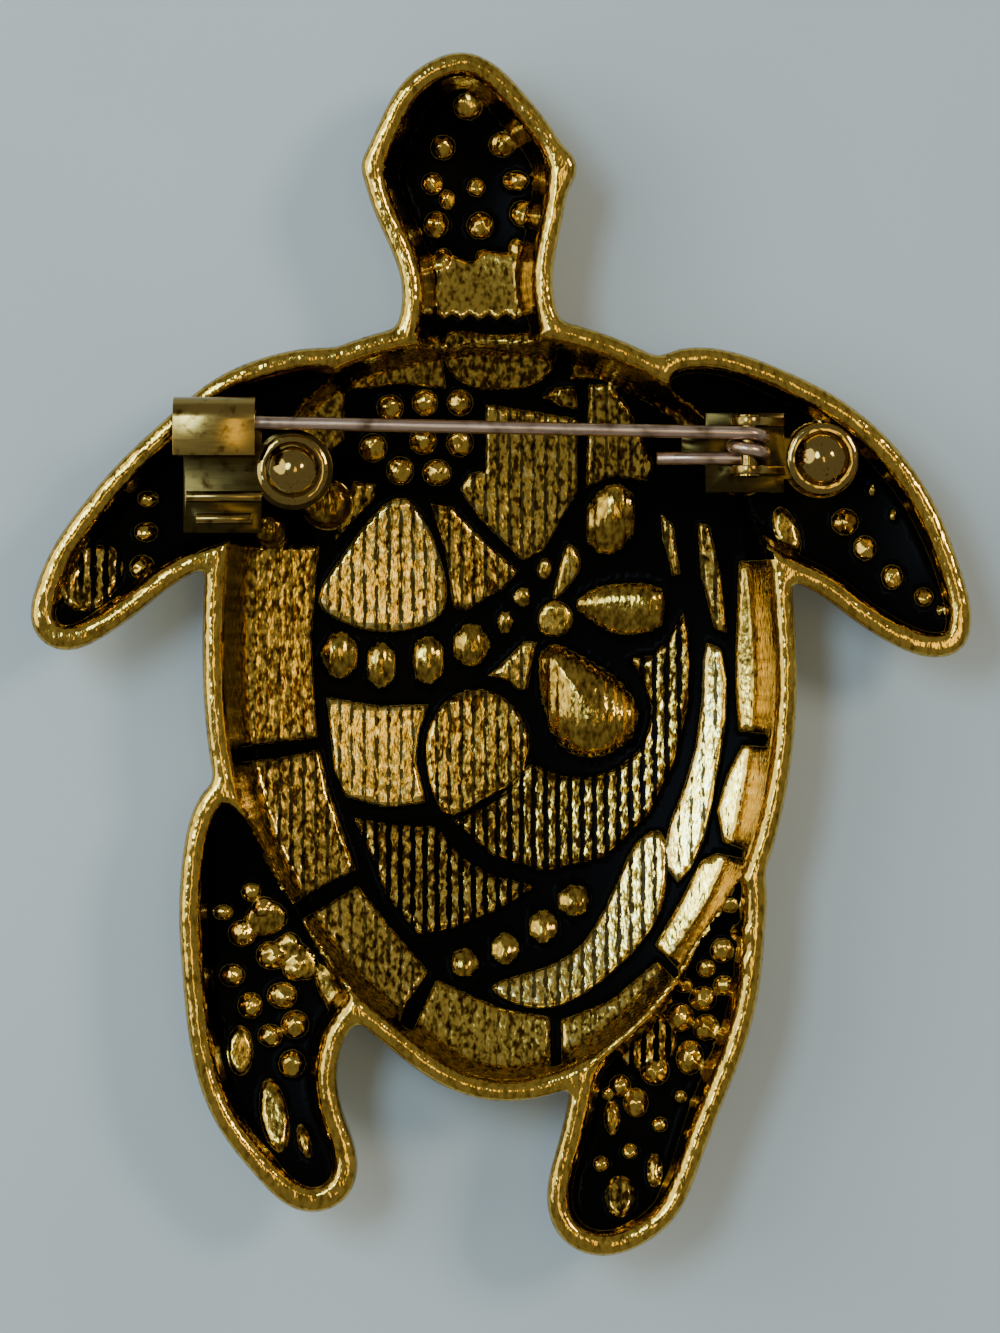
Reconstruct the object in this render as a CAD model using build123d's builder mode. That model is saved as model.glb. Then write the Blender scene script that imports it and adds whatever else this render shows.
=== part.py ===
"""Turtle brooch, cast hollow, seen here with its open back up and its front resting below.

Millimetres, +Z up out of the back, +Y towards the head. The origin is under the middle of
the brooch, at the height of the crown that it rests on.
"""

import os
from math import atan2, cos, degrees, pi, sin, sqrt

from build123d import *

# Casting
overall_length = 57.0
overall_width = 44.6
shell_depth = 6.6
wall = 1.0
rim_width = 1.0
plate_thickness = 0.35
crown_radius = 62.0
head_front = 1.5
head_radius = 16.0
flipper_front = 3.1
flipper_radius = 26.0
eye_diameter = 2.2
bump_diameter = 1.3
pellet_diameter = 0.85
seat_rise = 0.3
facet_length = 1.6
least_facets = 24

# Fittings
sheet = 0.4
seat_gap = 0.02
rivet_head_radius = 1.32
rivet_head_height = 0.8
collar_radius = 1.7
collar_height = 0.18
shank_radius = 0.6
shank_length = 2.2
shank_fit = 0.02
wire_diameter = 0.62
axle_diameter = 0.8
axle_fit = 0.04
axle_head_radius = 0.62
axle_head_height = 0.15
coil_turns = 1.5
coil_pitch = 0.76
side_play = 0.06
tail_clearance = 0.03
tail_length = 4.3
point_length = 2.0
hood_bore = 0.72
hood_length = 3.85
hood_lip = 1.65
bead_height = 0.25
lug_neck = 2.0
point_radius = 0.04

# The chart of the back that every table below is read on, with its edges on the brooch's own
chart_left, chart_right = 28, 973
chart_top, chart_bottom = 50, 1258
chart_middle = ((chart_left + chart_right) / 2, (chart_top + chart_bottom) / 2)
across_scale = overall_width / (chart_right - chart_left)
down_scale = overall_length / (chart_bottom - chart_top)
rim_z = shell_depth


def spot(across, down):
    """A place on the chart, as X and Y on the brooch."""
    return ((across - chart_middle[0]) * across_scale, (chart_middle[1] - down) * down_scale)


# Outlines at the widest part of the rim, going clockwise round the chart: (across, down)
CARAPACE = [
    (404, 326), (480, 314), (556, 320), (612, 336), (668, 362), (722, 396), (762, 450),
    (784, 520), (794, 600), (798, 690), (790, 775), (770, 860), (738, 930), (690, 995),
    (625, 1058), (562, 1092), (500, 1102), (440, 1085), (385, 1045), (322, 990),
    (270, 920), (234, 850), (212, 775), (203, 700), (202, 620), (208, 540), (228, 465),
    (268, 400), (330, 350),
]
HEAD = [
    (402, 300), (399, 272), (383, 232), (368, 195), (364, 163), (377, 126), (400, 84),
    (430, 60), (464, 51), (493, 62), (522, 90), (549, 123), (567, 160), (566, 200),
    (558, 242), (554, 296), (560, 350), (520, 380), (440, 380), (398, 350),
]
FRONT_LEFT = [
    (320, 347), (270, 355), (218, 376), (172, 412), (120, 460), (85, 500), (50, 550),
    (33, 592), (29, 620), (42, 643), (66, 651), (100, 638), (140, 610), (176, 582),
    (210, 566), (262, 545), (300, 490), (335, 430), (356, 380), (346, 353),
]
FRONT_RIGHT = [
    (662, 356), (690, 347), (740, 353), (785, 370), (830, 392), (872, 422), (912, 465),
    (944, 520), (964, 575), (973, 624), (963, 650), (936, 658), (895, 645), (855, 620),
    (815, 591), (780, 575), (738, 545), (700, 490), (666, 430), (648, 385),
]
REAR_LEFT = [
    (213, 783), (194, 806), (182, 855), (178, 910), (181, 970), (190, 1050), (203, 1098),
    (224, 1138), (258, 1180), (292, 1209), (324, 1212), (351, 1192), (357, 1160),
    (342, 1112), (337, 1066), (350, 1030), (368, 1002), (352, 955), (314, 890),
    (276, 822), (242, 788),
]
REAR_RIGHT = [
    (763, 870), (767, 915), (762, 975), (748, 1040), (720, 1112), (698, 1172),
    (676, 1218), (642, 1246), (600, 1257), (562, 1240), (547, 1203), (556, 1152),
    (568, 1104), (580, 1060), (618, 1020), (655, 975), (682, 915), (704, 866),
    (735, 846),
]

# Raised plates on the shell's floor: (curved outline or straight, outline on the chart)
PLATES = {
    "nuchal": (True, [
        (443, 335), (558, 335), (556, 362), (538, 384), (500, 391), (462, 384), (444, 362),
    ]),
    "front_left_marginal": (False, [
        (300, 380), (345, 345), (440, 345), (447, 390), (400, 385), (345, 392), (310, 430),
    ]),
    "front_right_marginal": (False, [
        (572, 340), (640, 355), (700, 400), (690, 430), (650, 405), (600, 380), (570, 380),
    ]),
    "chip": (False, [(541, 398), (555, 387), (575, 385), (580, 411), (560, 407)]),
    "front_right": (False, [
        (588, 384), (612, 383), (630, 408), (655, 465), (648, 482), (612, 477), (585, 490),
    ]),
    "front_middle": (False, [
        (484, 403), (578, 418), (578, 492), (545, 550), (522, 562), (480, 520), (458, 490),
        (470, 472), (484, 470),
    ]),
    "sliver": (False, [(352, 480), (377, 484), (374, 500), (350, 525), (332, 545), (343, 512)]),
    "leaf": (True, [
        (402, 497), (425, 520), (443, 565), (443, 612), (400, 632), (345, 624), (319, 605),
        (338, 560), (372, 515),
    ]),
    "wedge": (False, [
        (430, 503), (452, 505), (480, 535), (520, 572), (503, 590), (465, 612), (452, 608),
        (446, 560),
    ]),
    "small_leaf": (True, [(570, 543), (581, 558), (576, 578), (553, 600), (558, 570)]),
    "petal": (True, [(545, 557), (552, 566), (546, 580), (538, 578)]),
    "heart": (True, [(553, 600), (572, 610), (566, 634), (540, 632), (538, 612)]),
    "hook": (False, [
        (487, 676), (500, 664), (524, 640), (538, 641), (528, 690), (518, 691), (508, 681),
    ]),
    "left_middle": (False, [
        (325, 696), (380, 705), (430, 703), (420, 730), (417, 760), (427, 803), (385, 808),
        (345, 797), (333, 770),
    ]),
    "round": (True, [
        (478, 688), (512, 704), (530, 745), (518, 778), (488, 798), (447, 815), (428, 780),
        (428, 728), (446, 700),
    ]),
    "crescent": (True, [
        (682, 612), (690, 650), (690, 700), (676, 760), (650, 814), (605, 858), (545, 872),
        (492, 856), (452, 821), (496, 800), (530, 762), (582, 776), (632, 758), (656, 710),
        (652, 672), (668, 638),
    ]),
    "left_rear": (False, [
        (352, 816), (400, 825), (436, 825), (460, 855), (490, 873), (538, 886), (500, 910),
        (450, 930), (418, 935), (385, 895), (368, 850),
    ]),
    "right_rear": (True, [
        (655, 829), (667, 885), (648, 935), (600, 983), (560, 1006), (510, 1002),
        (492, 990), (545, 966), (600, 915), (622, 868), (636, 842),
    ]),
    "strip": (False, [(660, 512), (674, 524), (682, 575), (672, 577), (662, 540)]),
    "jagged_strip": (False, [
        (698, 525), (708, 527), (720, 575), (725, 634), (712, 628), (700, 575),
    ]),
    "right_blade": (True, [
        (710, 641), (724, 670), (722, 740), (704, 820), (678, 880), (669, 832), (694, 760),
        (702, 700),
    ]),
    "left_marginal_1": (False, [
        (225, 545), (320, 545), (312, 640), (318, 738), (232, 749), (205, 760), (205, 545),
    ]),
    "left_marginal_2": (False, [
        (232, 760), (280, 757), (320, 748), (330, 790), (357, 870), (320, 888), (285, 908),
        (235, 860), (212, 765),
    ]),
    "left_marginal_3": (False, [
        (292, 925), (325, 905), (358, 884), (390, 925), (430, 972), (405, 1006),
        (380, 1020), (320, 985),
    ]),
    "tail_left": (False, [
        (436, 978), (500, 1007), (551, 1016), (551, 1080), (480, 1080), (420, 1060),
        (404, 1032),
    ]),
    "tail_right": (False, [
        (560, 1019), (610, 1000), (657, 960), (684, 996), (650, 1030), (600, 1070),
        (562, 1080),
    ]),
    "right_marginal_1": (False, [
        (738, 560), (790, 560), (800, 640), (790, 734), (742, 728), (748, 680), (738, 645),
    ]),
    "right_marginal_2": (False, [
        (742, 745), (792, 745), (784, 815), (750, 852), (722, 842), (716, 810), (726, 775),
    ]),
    "right_marginal_3": (False, [
        (700, 860), (716, 852), (765, 862), (745, 920), (702, 985), (684, 975), (654, 945),
        (680, 900),
    ]),
}

# Raised ovals: (across, down, width across, length down, turn anticlockwise in degrees)
STONE_SEATS = [
    (588, 700, 100, 112, 18), (618, 607, 92, 48, 0), (611, 519, 52, 76, -14),
    (340, 655, 38, 50, 0), (381, 665, 32, 50, 0), (428, 660, 36, 52, 0),
    (471, 645, 38, 46, 0), (505, 622, 20, 26, 0), (522, 597, 20, 22, 0),
    (464, 962, 31, 31, 0), (505, 948, 28, 36, 0), (543, 926, 30, 36, 0), (574, 900, 34, 34, 0),
]
SCALES = {
    "rear_left": [(240, 1050, 28, 54, 0), (274, 1115, 30, 78, 10), (304, 1141, 14, 40, 15)],
    "rear_right": [
        (620, 1196, 32, 44, 0), (655, 1170, 17, 38, 0), (612, 1117, 18, 38, 0), (646, 1040, 64, 60, 35),
    ],
    "front_left": [(92, 578, 54, 76, -38)],
    "front_right": [(787, 532, 26, 56, 20)],
    "head": [(484, 290, 92, 60, 0)],
}

# Round bumps on each form's floor: (across, down)
BUMPS = {
    "shell": [
        (390, 408), (425, 403), (460, 403), (373, 448), (423, 441), (460, 443), (400, 471), (437, 473),
    ],
    "head": [
        (468, 107), (443, 148), (502, 145), (432, 186), (476, 188), (516, 181), (436, 225),
        (480, 226), (522, 214), (443, 262), (516, 250),
    ],
    "rear_left": [
        (242, 933), (264, 908), (272, 955), (232, 975), (296, 965), (282, 995), (250, 1005),
        (295, 1022), (270, 1035), (292, 1063),
    ],
    "rear_right": [
        (705, 985), (722, 955), (680, 1015), (690, 1057), (703, 1027), (655, 1070), (620, 1085),
        (635, 1102),
    ],
    "front_left": [(148, 500), (146, 532), (142, 566)],
    "front_right": [(845, 522), (865, 548), (892, 577), (924, 597)],
}
PELLETS = {
    "rear_left": [(251, 891), (223, 913)],
    "rear_right": [
        (730, 905), (740, 932), (712, 962), (681, 1096), (660, 1124), (630, 1151), (601, 1163),
    ],
    "head": [(538, 160), (460, 166), (483, 257)],
}
EYES = [(383, 166), (555, 168)]

# Places of the fittings on the chart
CATCH_RIVET = (293, 470)
CATCH_LEFT, CATCH_RIGHT, CATCH_BOTTOM = 184, 262, 533
HOOD_LEFT, HOOD_BACK = 175, 398
CATCH_BEADS = [(497, 187, 262), (519, 197, 252)]
HINGE_RIVET = (823, 458)
HINGE_LEFT, HINGE_TOP, HINGE_BOTTOM = 706, 412, 492
TONGUE_LEFT, TONGUE_TOP, TONGUE_BOTTOM = 682, 434, 456
EAR_END = 785
AXLE = 748
STEM_TIP = 182
TAIL_ROW = 458

# What the fittings share
catch_z = rim_z
pin_z = catch_z + seat_gap + sheet + hood_bore
hood_y = spot(0, HOOD_BACK)[1] - sheet - hood_bore
coil_radius = axle_diameter / 2 + axle_fit + wire_diameter / 2
axle_x = spot(AXLE, 0)[0]
axle_z = pin_z - coil_radius
tail_y = spot(0, TAIL_ROW)[1]
stem_y = tail_y + coil_turns * coil_pitch
ear_top_y = stem_y + wire_diameter / 2 + side_play
ear_bottom_y = tail_y - wire_diameter / 2 - side_play
hinge_z = axle_z - coil_radius - wire_diameter / 2 - tail_clearance - sheet - seat_gap
degrees_of_point = degrees(atan2(wire_diameter / 2 - point_radius, point_length))
low_boss_z = rim_z - 1.4

# Pillars under and beside the plates: (place, radius, height of the top)
BOSSES = [
    (CATCH_RIVET, 1.75, catch_z), ((324, 502), 1.15, low_boss_z), ((268, 528), 0.8, catch_z),
    (HINGE_RIVET, 1.75, hinge_z), ((745, 470), 1.1, hinge_z),
]

# The rim's rounding and the draft of the walls: (share of the depth, inset in rim widths)
OUTSIDE = [(0.0, 0.40), (0.02, 0.15), (0.07, 0.0), (0.18, 0.0), (0.6, 0.5), (1.05, 1.6)]
INSIDE = [(-0.03, 0.50), (0.0, 0.62), (0.05, 0.98), (0.3, 1.3), (1.05, 2.2)]
least_step = 0.02


def facet_corners(outline):
    """Corners evenly along the smooth line through an outline, running anticlockwise."""
    smooth = Spline(*[spot(*place) for place in outline], periodic=True)
    count = max(least_facets, round(smooth.length / facet_length))
    corners = [tuple(smooth @ (step / count))[:2] for step in range(count)]
    turning = sum(a[0] * b[1] - b[0] * a[1] for a, b in zip(corners, corners[1:] + corners[:1]))
    return corners if turning > 0 else corners[::-1]


def inset(corners, distance):
    """Every side of a polygon moved inwards by a distance."""
    moved = []
    for index, (x, y) in enumerate(corners):
        before, after = corners[index - 1], corners[(index + 1) % len(corners)]
        angle_in = atan2(y - before[1], x - before[0])
        angle_out = atan2(after[1] - y, after[0] - x)
        half_turn = ((angle_out - angle_in + pi) % (2 * pi) - pi) / 2
        square = angle_in + half_turn + pi / 2
        reach = distance / cos(half_turn)
        moved.append((x + reach * cos(square), y + reach * sin(square)))
    return moved


def cut_short(profile, last_share):
    """The part of a profile above a share of the depth, with its last row at that share."""
    kept = [row for row in profile if row[0] < last_share - least_step]
    upper, lower = kept[-1], profile[len(kept)]
    along = (last_share - upper[0]) / (lower[0] - upper[0])
    return kept + [(last_share, upper[1] + along * (lower[1] - upper[1]))]


def drawn_form(outline, profile, ball_centre, ball_radius):
    """A form whose walls follow the profile down from the rim, closed below by part of a ball."""
    corners = facet_corners(outline)
    bottom_share = (rim_z - ball_centre[2] + ball_radius) / shell_depth + least_step / 2
    rings = []
    for depth_share, inset_share in cut_short(profile, bottom_share):
        z = rim_z - depth_share * shell_depth
        rings.append([(x, y, z) for x, y in inset(corners, inset_share * rim_width)])
    faces = [Face(Wire.make_polygon(rings[0])), Face(Wire.make_polygon(rings[-1]))]
    for upper, lower in zip(rings, rings[1:]):
        for index in range(len(corners)):
            after = (index + 1) % len(corners)
            corners_of_face = [upper[index], upper[after], lower[after], lower[index]]
            faces.append(Face(Wire.make_polygon(corners_of_face)))
    with BuildPart() as form:
        add(Solid(Shell(faces)))
        with Locations(ball_centre):
            Sphere(ball_radius, mode=Mode.INTERSECT)
    return form.part


def ball_on(middle, front_z, radius):
    """The middle of a ball whose lowest point is at front_z, over a place on the chart."""
    return (*spot(*middle), front_z + radius)


# Each form of the shell: outline, middle on the chart, height of its front, radius of its front
FORMS = {
    "shell": (CARAPACE, (491, 668), 0.0, crown_radius),
    "head": (HEAD, (466, 190), head_front, head_radius),
    "front_left": (FRONT_LEFT, (190, 470), flipper_front, flipper_radius),
    "front_right": (FRONT_RIGHT, (825, 475), flipper_front, flipper_radius),
    "rear_left": (REAR_LEFT, (262, 985), flipper_front, flipper_radius),
    "rear_right": (REAR_RIGHT, (660, 1060), flipper_front, flipper_radius),
}


def floor_z(form, x, y):
    """Height of a form's inner floor over a place on the brooch."""
    _, middle, front_z, radius = FORMS[form]
    ball = ball_on(middle, front_z, radius)
    return ball[2] - sqrt((radius - wall) ** 2 - (x - ball[0]) ** 2 - (y - ball[1]) ** 2)


def make_outside():
    """The casting's outside, as if it were solid, with the eyes that stand out of the head."""
    with BuildPart() as outside:
        for outline, middle, front_z, radius in FORMS.values():
            add(drawn_form(outline, OUTSIDE, ball_on(middle, front_z, radius), radius))
        for eye in EYES:
            with Locations((*spot(*eye), rim_z - eye_diameter)):
                Sphere(eye_diameter / 2)
    return outside.part


def flat_face(places, curved=False):
    """A flat face inside a line through some places: smooth if it is curved, otherwise straight."""
    with BuildSketch() as face:
        with BuildLine():
            if curved:
                Spline(*places, periodic=True)
            else:
                Polyline(*places, close=True)
        make_face()
    return face.sketch


def rectangle(left, right, bottom, top):
    """A flat rectangle between its four sides."""
    return flat_face([(left, bottom), (right, bottom), (right, top), (left, top)])


def make_plates():
    """The raised plates, cut level with the shell's floor."""
    _, middle, front_z, radius = FORMS["shell"]
    with BuildPart() as plates:
        with BuildSketch(Plane.XY):
            for curved, outline in PLATES.values():
                add(flat_face([spot(*place) for place in outline], curved))
        extrude(amount=rim_z)
        with Locations(ball_on(middle, front_z, radius)):
            Sphere(radius - wall - plate_thickness, mode=Mode.SUBTRACT)
    return plates.part


def raised_oval(form, across, down, width, length, turn, height):
    """An oval pad with a domed top, standing on a form's floor."""
    x, y = spot(across, down)
    base = floor_z(form, x, y)
    half_width, half_length = width / 2 * across_scale, length / 2 * down_scale
    reach = max(half_width, half_length)
    dome_radius = (reach**2 + height**2) / (2 * height)
    with BuildPart() as pad:
        with BuildSketch(Plane((x, y, base - wall / 2)).rotated((0, 0, turn))):
            Ellipse(half_width, half_length)
        extrude(amount=wall / 2 + height)
        with Locations((x, y, base + height - dome_radius)):
            Sphere(dome_radius, mode=Mode.INTERSECT)
    return pad.part


def floor_spots(groups):
    """Where each place of the named forms lies on its floor, as X, Y and Z."""
    places = [(form, *spot(*place)) for form, rows in groups.items() for place in rows]
    return [(x, y, floor_z(form, x, y)) for form, x, y in places]


def make_ovals():
    """The stone seats on the shell's floor and the long scales on the flippers' floors."""
    ovals = []
    for across, down, width, length, turn in STONE_SEATS:
        height = seat_rise * min(width, length) * across_scale
        ovals.append(raised_oval("shell", across, down, width, length, turn, height))
    for form, scales in SCALES.items():
        for scale in scales:
            ovals.append(raised_oval(form, *scale, plate_thickness))
    return ovals


def make_relief():
    """Everything that stands on the floors: plates, stone seats, scales, bumps and pellets."""
    with BuildPart() as relief:
        add(make_plates())
        add(make_ovals())
        with Locations(*floor_spots(BUMPS)):
            Sphere(bump_diameter / 2)
        with Locations(*floor_spots(PELLETS)):
            Sphere(pellet_diameter / 2)
    return relief.part


def make_bosses():
    """The pillars under the fittings, up to the plates that sit on them."""
    with BuildPart() as bosses:
        for place, radius, top in BOSSES:
            with Locations((*spot(*place), top / 2)):
                Cylinder(radius, top)
    return bosses.part


def make_casting():
    """The hollow casting with its relief, bosses and rivet bores."""
    with BuildPart() as hollow:
        for outline, middle, front_z, radius in FORMS.values():
            add(drawn_form(outline, INSIDE, ball_on(middle, front_z, radius), radius - wall))
        add(make_relief(), mode=Mode.SUBTRACT)
        add(make_bosses(), mode=Mode.SUBTRACT)
    with BuildPart() as casting:
        add(make_outside())
        add(hollow.part, mode=Mode.SUBTRACT)
        for place, top in ((CATCH_RIVET, catch_z), (HINGE_RIVET, hinge_z)):
            with Locations((*spot(*place), top - shank_length / 2)):
                Cylinder(shank_radius + shank_fit, shank_length + 2 * shank_fit, mode=Mode.SUBTRACT)
    return casting.part


def make_rivet(place, plate_top):
    """A domed rivet: head on a thin collar, and a shank through the plate into its boss."""
    x, y = spot(*place)
    dome_radius = (rivet_head_radius**2 + rivet_head_height**2) / (2 * rivet_head_height)
    collar_z = plate_top + seat_gap
    with BuildPart() as rivet:
        with BuildSketch(Plane.XY.offset(collar_z)):
            with Locations((x, y)):
                Circle(rivet_head_radius)
        extrude(amount=collar_height + rivet_head_height)
        with Locations((x, y, collar_z + collar_height + rivet_head_height - dome_radius)):
            Sphere(dome_radius, mode=Mode.INTERSECT)
        with Locations((x, y, collar_z + collar_height / 2)):
            Cylinder(collar_radius, collar_height)
        with Locations((x, y, collar_z - shank_length / 2)):
            Cylinder(shank_radius, shank_length)
    return rivet.part


def make_catch_plate():
    """Sheet catch: base with a round lug, two pressed beads and an edge rolled over into a hood."""
    left, top = spot(CATCH_LEFT, HOOD_BACK)
    right, bottom = spot(CATCH_RIGHT, CATCH_BOTTOM)
    rivet_x, rivet_y = spot(*CATCH_RIVET)
    hood_left = spot(HOOD_LEFT, 0)[0]
    level = catch_z + seat_gap
    curl_radius = hood_bore + sheet
    curl_y, curl_z = top - curl_radius, level + curl_radius
    lip_y, crest_z = curl_y - hood_lip, level + 2 * curl_radius
    under_z = crest_z - sheet
    with BuildPart() as catch:
        with BuildSketch(Plane.XY.offset(level)):
            add(rectangle(left, right, bottom, curl_y))
            add(rectangle(right, rivet_x, rivet_y - lug_neck / 2, rivet_y + lug_neck / 2))
            with Locations((rivet_x, rivet_y)):
                Circle(collar_radius + sheet / 2)
        extrude(amount=sheet)
        with BuildSketch(Plane.YZ.offset(hood_left)):
            with BuildLine():
                ThreePointArc((curl_y, level), (curl_y + curl_radius, curl_z), (curl_y, crest_z))
                Polyline((curl_y, crest_z), (lip_y, crest_z), (lip_y, under_z), (curl_y, under_z))
                ThreePointArc((curl_y, under_z), (curl_y + hood_bore, curl_z), (curl_y, level + sheet))
                Polyline((curl_y, level + sheet), (lip_y, level + sheet), (lip_y, level), (curl_y, level))
            make_face()
        extrude(amount=hood_length)
        for down, start, end in CATCH_BEADS:
            x_start, bead_y = spot(start, down)
            x_end = spot(end, down)[0]
            with BuildSketch(Plane.YZ.offset(x_start)):
                with Locations((bead_y, level + sheet)):
                    Circle(bead_height)
            extrude(amount=x_end - x_start)
        with Locations((rivet_x, rivet_y, level + sheet / 2)):
            Cylinder(shank_radius + shank_fit, sheet, mode=Mode.SUBTRACT)
    return catch.part


def make_hinge_plate():
    """Sheet hinge: base with a round lug and a tongue, and two upright ears with holes."""
    rivet_x, rivet_y = spot(*HINGE_RIVET)
    left, top = spot(HINGE_LEFT, HINGE_TOP)
    bottom = spot(0, HINGE_BOTTOM)[1]
    tongue_x, tongue_top = spot(TONGUE_LEFT, TONGUE_TOP)
    tongue_bottom = spot(0, TONGUE_BOTTOM)[1]
    ear_end = spot(EAR_END, 0)[0]
    level = hinge_z + seat_gap
    ear_radius = axle_diameter / 2 + sheet
    with BuildPart() as hinge:
        with BuildSketch(Plane.XY.offset(level)):
            add(rectangle(left, ear_end, bottom, top))
            add(rectangle(tongue_x, left, tongue_bottom, tongue_top))
            add(rectangle(ear_end, rivet_x, rivet_y - lug_neck / 2, rivet_y + lug_neck / 2))
            with Locations((rivet_x, rivet_y)):
                Circle(collar_radius)
        extrude(amount=sheet)
        for inner_y, outwards in ((ear_top_y, 1), (ear_bottom_y, -1)):
            with BuildSketch(Plane((0, inner_y, 0), x_dir=(1, 0, 0), z_dir=(0, outwards, 0))):
                flip = -outwards
                with BuildLine():
                    Polyline(
                        (axle_x - ear_radius, flip * level), (axle_x - ear_radius, flip * axle_z),
                        (axle_x, flip * (axle_z + ear_radius)), (ear_end, flip * (level + 2 * sheet)),
                        (ear_end, flip * level), close=True,
                    )
                make_face()
                with Locations((axle_x, flip * axle_z)):
                    Circle(ear_radius)
                    Circle(axle_diameter / 2 + shank_fit, mode=Mode.SUBTRACT)
            extrude(amount=sheet)
        with Locations((rivet_x, rivet_y, level + sheet / 2)):
            Cylinder(shank_radius + shank_fit, sheet, mode=Mode.SUBTRACT)
    return hinge.part


def make_hinge_axle():
    """A short pin through both ears and the coil, with a flat head at each end."""
    ears_out = (ear_top_y + sheet, ear_bottom_y - sheet)
    length = ears_out[0] - ears_out[1] + 2 * seat_gap
    head_offset = (length + axle_head_height) / 2
    middle = (axle_x, (ears_out[0] + ears_out[1]) / 2, axle_z)
    with BuildPart() as axle:
        with Locations(Location(middle, (90, 0, 0))):
            Cylinder(axle_diameter / 2, length)
            with Locations((0, 0, head_offset), (0, 0, -head_offset)):
                Cylinder(axle_head_radius, axle_head_height)
    return axle.part


def make_pin_stem():
    """One wire: a straight pointed stem, one and a half turns round the axle and a short tail."""
    radius = wire_diameter / 2
    coil_start = Plane((axle_x, stem_y, axle_z), x_dir=(0, 0, 1), z_dir=(0, -1, 0))
    start = Vector(axle_x, stem_y, axle_z + coil_radius)
    end = Vector(axle_x, tail_y, axle_z - coil_radius)
    tip = Vector(spot(STEM_TIP, 0)[0], hood_y, pin_z)
    shaft_length = (tip - start).length - point_length
    shoulder = start + (tip - start).normalized() * shaft_length
    turns = coil_start * Helix(coil_pitch, coil_pitch * coil_turns, coil_radius, lefthand=True)
    with BuildPart() as stem:
        with BuildSketch(Plane(turns @ 0, z_dir=turns % 0)):
            Circle(radius)
        sweep(path=turns, is_frenet=True)
        with Locations(start, end):
            Sphere(radius)
        with BuildSketch(Plane(start, z_dir=tip - start)):
            Circle(radius)
        extrude(amount=shaft_length)
        with BuildSketch(Plane(shoulder, z_dir=tip - start)):
            Circle(radius)
        extrude(amount=point_length, taper=degrees_of_point)
        with BuildSketch(Plane(end, z_dir=(-1, 0, 0))):
            Circle(radius)
        extrude(amount=tail_length)
    return stem.part


def write(part, name):
    """Names a finished piece and writes it as a STEP file."""
    part.label = name
    export_step(part, f"parts/{name}.step")


if __name__ == "__main__":
    os.makedirs("parts", exist_ok=True)
    write(make_casting(), "casting")
    write(make_catch_plate(), "catch_plate")
    write(make_hinge_plate(), "hinge_plate")
    write(make_hinge_axle(), "hinge_axle")
    write(make_pin_stem(), "pin_stem")
    write(make_rivet(CATCH_RIVET, catch_z + seat_gap + sheet), "catch_rivet")
    write(make_rivet(HINGE_RIVET, hinge_z + seat_gap + sheet), "hinge_rivet")
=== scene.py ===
import math
from functools import partial

import bmesh
import bpy
import numpy as np
from bpy.props import FloatProperty, FloatVectorProperty, IntProperty, PointerProperty
from mathutils import Matrix, Vector, noise
from mathutils.geometry import delaunay_2d_cdt


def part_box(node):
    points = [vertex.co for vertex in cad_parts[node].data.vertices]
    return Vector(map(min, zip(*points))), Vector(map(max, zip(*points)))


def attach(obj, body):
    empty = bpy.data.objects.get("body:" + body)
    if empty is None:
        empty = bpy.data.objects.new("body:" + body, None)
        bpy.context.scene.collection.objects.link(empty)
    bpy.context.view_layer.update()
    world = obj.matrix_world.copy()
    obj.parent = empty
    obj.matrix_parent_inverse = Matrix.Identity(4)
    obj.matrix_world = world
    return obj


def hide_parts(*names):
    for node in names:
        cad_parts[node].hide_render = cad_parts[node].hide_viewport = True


bl_info = {
    "name": "Turtle brooch",
    "version": (1, 0, 0),
    "blender": (4, 5, 0),
    "location": "3D View > Sidebar > Turtle brooch",
    "description": "Dresses a hollow cast turtle brooch, seen from its open back",
    "category": "Object",
}

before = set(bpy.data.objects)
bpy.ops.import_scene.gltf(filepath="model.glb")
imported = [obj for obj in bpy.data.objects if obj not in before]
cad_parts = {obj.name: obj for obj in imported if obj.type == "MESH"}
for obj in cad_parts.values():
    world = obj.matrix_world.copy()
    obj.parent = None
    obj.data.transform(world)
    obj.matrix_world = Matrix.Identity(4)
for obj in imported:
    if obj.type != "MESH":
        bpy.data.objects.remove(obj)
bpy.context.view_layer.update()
CASTING_BOX = np.array([list(corner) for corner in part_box("casting")]) * 1000

# Meshes are worked out in millimetres, and turned to metres when they are made
MM = 0.001
OVERALL_LENGTH, OVERALL_WIDTH = 57.0, 44.6
RIM_Z = float(CASTING_BOX[1][2])
WALL = 1.0

# The chart of the back that every table below is read on, with its edges on the brooch's own
CHART_LEFT, CHART_RIGHT = 28, 973
CHART_TOP, CHART_BOTTOM = 50, 1258
CHART_MIDDLE = ((CHART_LEFT + CHART_RIGHT) / 2, (CHART_TOP + CHART_BOTTOM) / 2)
ACROSS = OVERALL_WIDTH / (CHART_RIGHT - CHART_LEFT)
DOWN = OVERALL_LENGTH / (CHART_BOTTOM - CHART_TOP)

# The chart was read from above, so what lies under the rim is drawn a little too near its middle
EYE_HEIGHT = 300.0
PICTURE_SIZE = (1000, 1333)

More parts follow.
